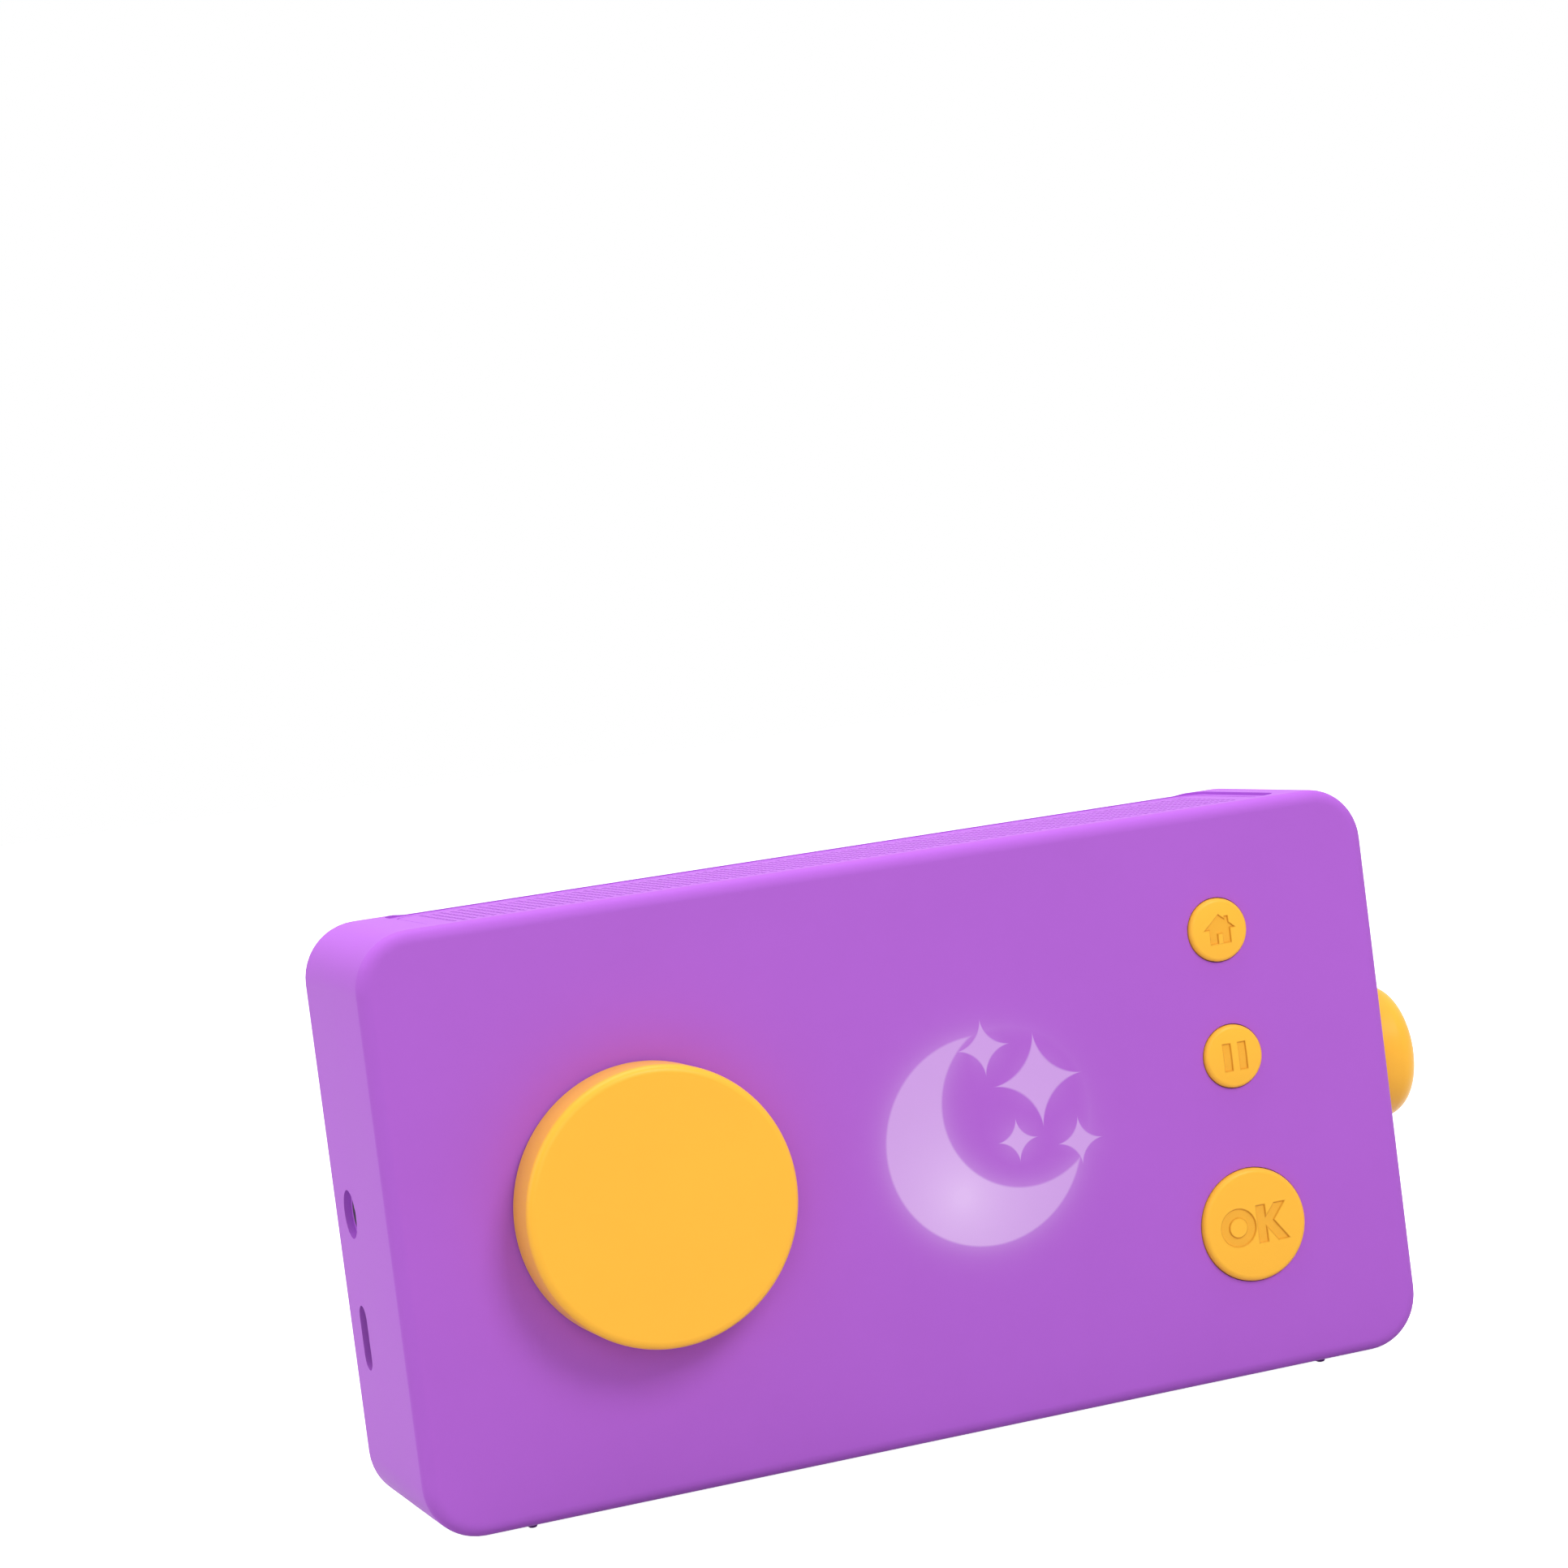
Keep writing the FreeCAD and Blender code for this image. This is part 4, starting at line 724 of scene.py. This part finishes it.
def add_grille():
    """The perforated insert: straight rows of small round holes across the plate, each row half a pitch on.

    Every hole sits in a rectangular tile whose edge has as many points as the hole; the tiles are laid like
    bricks, half tiles close the short rows, and rings of quads lead out to the rounded edge of the plate.
    While it is made, its first axis runs across the plate (y) and its second along it (x).
    """
    low, high = (np.array(corner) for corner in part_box("speaker_grille"))
    centre = (low + high) / 2
    half = (high - low)[1::-1] / 2
    top = (high[2] - low[2]) / 2
    pitch = np.array([grille_pitch, grille_row_pitch])
    columns, rows = ((2 * half - 2 * grille_field_margin) // pitch).astype(int)
    rows -= 1 - rows % 2
    quarter = np.array([-0.5, -0.25, 0.0, 0.25, 0.5])
    side = quarter[:-1]
    end = np.full(4, 0.5)
    tile = np.concatenate([
        np.stack([end, side], axis=1), np.stack([-side, end], axis=1),
        np.stack([-end, -side], axis=1), np.stack([side, -end], axis=1),
    ]) * pitch
    hole = grille_hole_radius * tile / np.hypot(*tile.T)[:, None]
    places = np.array([(column + 0.5 * (row % 2) - (columns - 1) / 2, row - (rows - 1) / 2)
                       for row in range(rows) for column in range(columns - row % 2)]) * pitch
    blocks = []
    faces = []

    def lay(flat, height):
        """Adds a layer of points at one height and gives the first one's number."""
        blocks.append(np.column_stack([flat, np.full(len(flat), height)]))
        return sum(len(block) for block in blocks) - len(flat)

    def join(first, second):
        """Quads between two layers of loops; each argument holds point numbers, one loop to a row."""
        quads = np.stack([first, np.roll(first, -1, axis=1), np.roll(second, -1, axis=1), second], axis=-1)
        faces.extend(quads.reshape(-1, 4).tolist())

    sides = len(tile)
    loops = []
    for shape, height in ((tile, top), (hole, top), (hole, -top), (tile, -top)):
        start = lay((places[:, None, :] + shape).reshape(-1, 2), height)
        loops.append(start + np.arange(len(places) * sides).reshape(-1, sides))
    for outer, inner in zip(loops, loops[1:]):
        join(outer, inner)
    reach = np.array([columns, rows]) * pitch / 2
    for row in range(1, rows, 2):
        up = (row - (rows - 1) / 2) * pitch[1]
        for side in (-1, 1):
            xs = side * (reach[0] - np.array([0.0, 0.25, 0.5]) * pitch[0])
            ys = up + quarter * pitch[1]
            outline = [(xs[0], y) for y in ys] + [(x, ys[-1]) for x in xs[1:]]
            outline += [(xs[2], y) for y in ys[-2::-1]] + [(xs[1], ys[0])]
            for height in (top, -top):
                start = lay(np.array(outline), height)
                face = list(range(start, start + len(outline)))
                faces.append(face if (side > 0) == (height > 0) else face[::-1])
    along = np.linspace(-reach[0], reach[0], 4 * columns + 1)[:-1]
    beside = np.linspace(-reach[1], reach[1], 4 * rows + 1)[:-1]
    field = np.concatenate([
        np.stack([np.full(len(beside), reach[0]), beside], axis=1),
        np.stack([-along, np.full(len(along), reach[1])], axis=1),
        np.stack([np.full(len(beside), -reach[0]), -beside], axis=1),
        np.stack([along, np.full(len(along), -reach[1])], axis=1),
    ])
    outlines = [(field, top)]
    for angle in np.radians((90.0, 60.0, 30.0, 0.0)):
        inset = grille_edge * (1 - math.cos(angle))
        level = top - grille_edge * (1 - math.sin(angle))
        outlines.append((rounded_loop(field, half - inset, grille_corner - inset), level))
    outlines.append((rounded_loop(field, half, grille_corner), -top))
    outlines.append((field, -top))
    starts = [lay(flat, height) + np.arange(len(field))[None, :] for flat, height in outlines]
    for inner, outer in zip(starts, starts[1:]):
        join(outer, inner)
    points = np.vstack(blocks)[:, [1, 0, 2]] + centre
    points, faces = merged(points, faces)
    put_piece("grille_plate", points, outward(points, faces), "grille_plastic", "player", "speaker_grille")


def cross_sign(across, up):
    """The cross recess of a screw: two crossed slots that narrow towards their ends."""
    across, up = abs(across), abs(up)
    return np.minimum(
        np.maximum(across - screw_cross_reach_mm, up - screw_cross_half_mm + screw_cross_taper * across),
        np.maximum(up - screw_cross_reach_mm, across - screw_cross_half_mm + screw_cross_taper * up),
    )


def add_cover_screws():
    """The six screws of the rear cover: pan heads with a cross recess, which look along +y."""
    low, high = (np.array(corner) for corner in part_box("cover_screws"))
    tip = low[1] - high[1]
    head = screw_head_radius
    rim = screw_head_height
    edge = screw_head_edge

    def height_at(across, up):
        distance = cross_sign(across / MM, up / MM) * MM
        depth = np.clip(0.5 - distance / screw_cross_wall, 0.0, 1.0) * screw_cross_depth
        return depth * np.clip(1.4 - np.hypot(across, up) / (screw_cross_reach_mm * MM), 0.0, 1.0)

    profile = arc((head - edge, edge), edge, -90.0, 0.0, 8)[1:].tolist()
    profile += [[head, rim], [screw_shank_radius, rim], [screw_shank_radius, -tip - screw_point_length]]
    profile += [[screw_point_radius, -tip], [0.0, -tip]]
    points, faces = faced_disc(height_at, head - edge, profile, 40)
    points = points * (-1.0, -1.0, 1.0)
    blocks = []
    all_faces = []
    for x, z in screw_places():
        shift = sum(len(block) for block in blocks)
        blocks.append(points + (x, high[1], z))
        all_faces += [[corner + shift for corner in face] for face in faces]
    put_piece("screw_heads", np.vstack(blocks), all_faces, "screw_steel", "player", "cover_screws")


def screw_places():
    """The middle of each cover screw, from the points at the tips of the node's solids."""
    source = nodes["cover_screws"].data
    places = np.zeros(len(source.vertices) * 3)
    source.vertices.foreach_get("co", places)
    places = places.reshape(-1, 3)
    tips = places[places[:, 1] < places[:, 1].min() + 0.1 * MM][:, [0, 2]]
    reach = 4 * MM
    rounded = np.unique(np.round(tips / reach), axis=0)
    return [tips[np.hypot(*(tips - key * reach).T) < reach].mean(axis=0) for key in rounded]


def add_camera():
    """The photograph's camera: a long lens, in front of the left end and a little above."""
    focal_px = 4787.568
    sensor = 36.0
    turn_mm = np.array([22.36661, 62.72030, 664.88898])
    pitch, yaw, roll = (math.radians(angle) for angle in (0.330252, -19.644266, -7.901324))
    case_to_row = np.array([-5.35, -15.7, 1.0])
    case_middle = np.array([0.0, 0.0, 50.5379])
    stand = np.array([[1, 0, 0], [0, 0, -1], [0, 1, 0]])
    turned = Matrix.Rotation(yaw, 3, "Y") @ Matrix.Rotation(pitch, 3, "X") @ Matrix.Rotation(roll, 3, "Z")
    view = np.array(turned) @ stand
    place = (case_middle - view.T @ turn_mm + case_to_row) * MM
    camera = bpy.data.objects.new("camera", bpy.data.cameras.new("camera"))
    camera.data.sensor_width = sensor
    camera.data.sensor_fit = "HORIZONTAL"
    camera.data.lens = focal_px / IMAGE_SIZE * sensor
    camera.data.clip_start = 0.01
    axes = view.T @ np.diag([1.0, -1.0, -1.0])
    camera.matrix_world = Matrix.Translation(place) @ Matrix(axes.tolist()).to_4x4()
    bpy.context.scene.collection.objects.link(camera)
    bpy.context.scene.camera = camera


def add_lamp(name, place, size, power):
    """A square soft white lamp that faces the player."""
    lamp = bpy.data.objects.new(name, bpy.data.lights.new(name, "AREA"))
    lamp.data.size = size
    lamp.data.energy = power
    direction = Vector(place) - Vector(lamp_aim)
    lamp.matrix_world = Matrix.Translation(place) @ direction.to_track_quat("Z", "Y").to_matrix().to_4x4()
    bpy.context.scene.collection.objects.link(lamp)


def seen_directly(tree):
    """1 for a ray from the camera, a reflection or a transmission, else 0."""
    path = tree.nodes.new("ShaderNodeLightPath")
    either = tree.nodes.new("ShaderNodeMath")
    either.operation = "MAXIMUM"
    tree.links.new(path.outputs["Is Camera Ray"], either.inputs[0])
    tree.links.new(path.outputs["Is Glossy Ray"], either.inputs[1])
    any_of_three = tree.nodes.new("ShaderNodeMath")
    any_of_three.operation = "MAXIMUM"
    tree.links.new(either.outputs[0], any_of_three.inputs[0])
    tree.links.new(path.outputs["Is Transmission Ray"], any_of_three.inputs[1])
    return any_of_three.outputs[0]


def add_studio():
    """A white floor that looks as bright as the background, a plain world and soft lamps."""
    world = bpy.data.worlds.new("studio")
    bpy.context.scene.world = world
    world.use_nodes = True
    tree = world.node_tree
    shine = tree.nodes["Background"]
    shine.inputs["Color"].default_value = (1.0, 1.0, 1.0, 1.0)
    strength = tree.nodes.new("ShaderNodeMix")
    tree.links.new(seen_directly(tree), strength.inputs[0])
    strength.inputs[2].default_value = world_strength
    strength.inputs[3].default_value = 1.0
    tree.links.new(strength.outputs[0], shine.inputs["Strength"])
    floor_finish = Finish("white_floor", roughness=0.9)
    floor_finish.feed("Base Color", (0.5, 0.5, 0.5, 1.0))
    shown = Signal(floor_finish, seen_directly(floor_finish.tree))
    grey = (floor_glow, floor_glow, floor_glow, 1.0)
    floor_finish.feed("Emission Color", floor_finish.mix((0.0, 0.0, 0.0, 1.0), grey, shown))
    floor_finish.feed("Emission Strength", 1.0)
    corners = np.array([[-1, -1, 0], [1, -1, 0], [1, 1, 0], [-1, 1, 0]]) * floor_half
    mesh = bpy.data.meshes.new("floor")
    mesh.from_pydata(corners.tolist(), [], [(0, 1, 2, 3)])
    mesh.materials.append(floor_finish.material)
    floor = bpy.data.objects.new("floor", mesh)
    bpy.context.scene.collection.objects.link(floor)
    for name, (place, size, power) in lamps.items():
        add_lamp(name, place, size, power)


materials = make_finishes()
dress_nodes(materials)
merged_copy("front_housing", "case_shell", "case_plastic", "player")
merged_copy("rear_cover", "back_shell", "cover_plastic", "player")
add_dial()
add_knob()
add_button("home", home_sign, small_button_cells, small_button_edge, small_button_crown)
add_button("pause", pause_sign, small_button_cells, small_button_edge, small_button_crown)
add_button("ok", ok_sign, ok_button_cells, ok_button_edge, ok_button_crown)
add_grille()
add_cover_screws()
add_camera()
add_studio()
bpy.context.scene.view_settings.view_transform = "Standard"
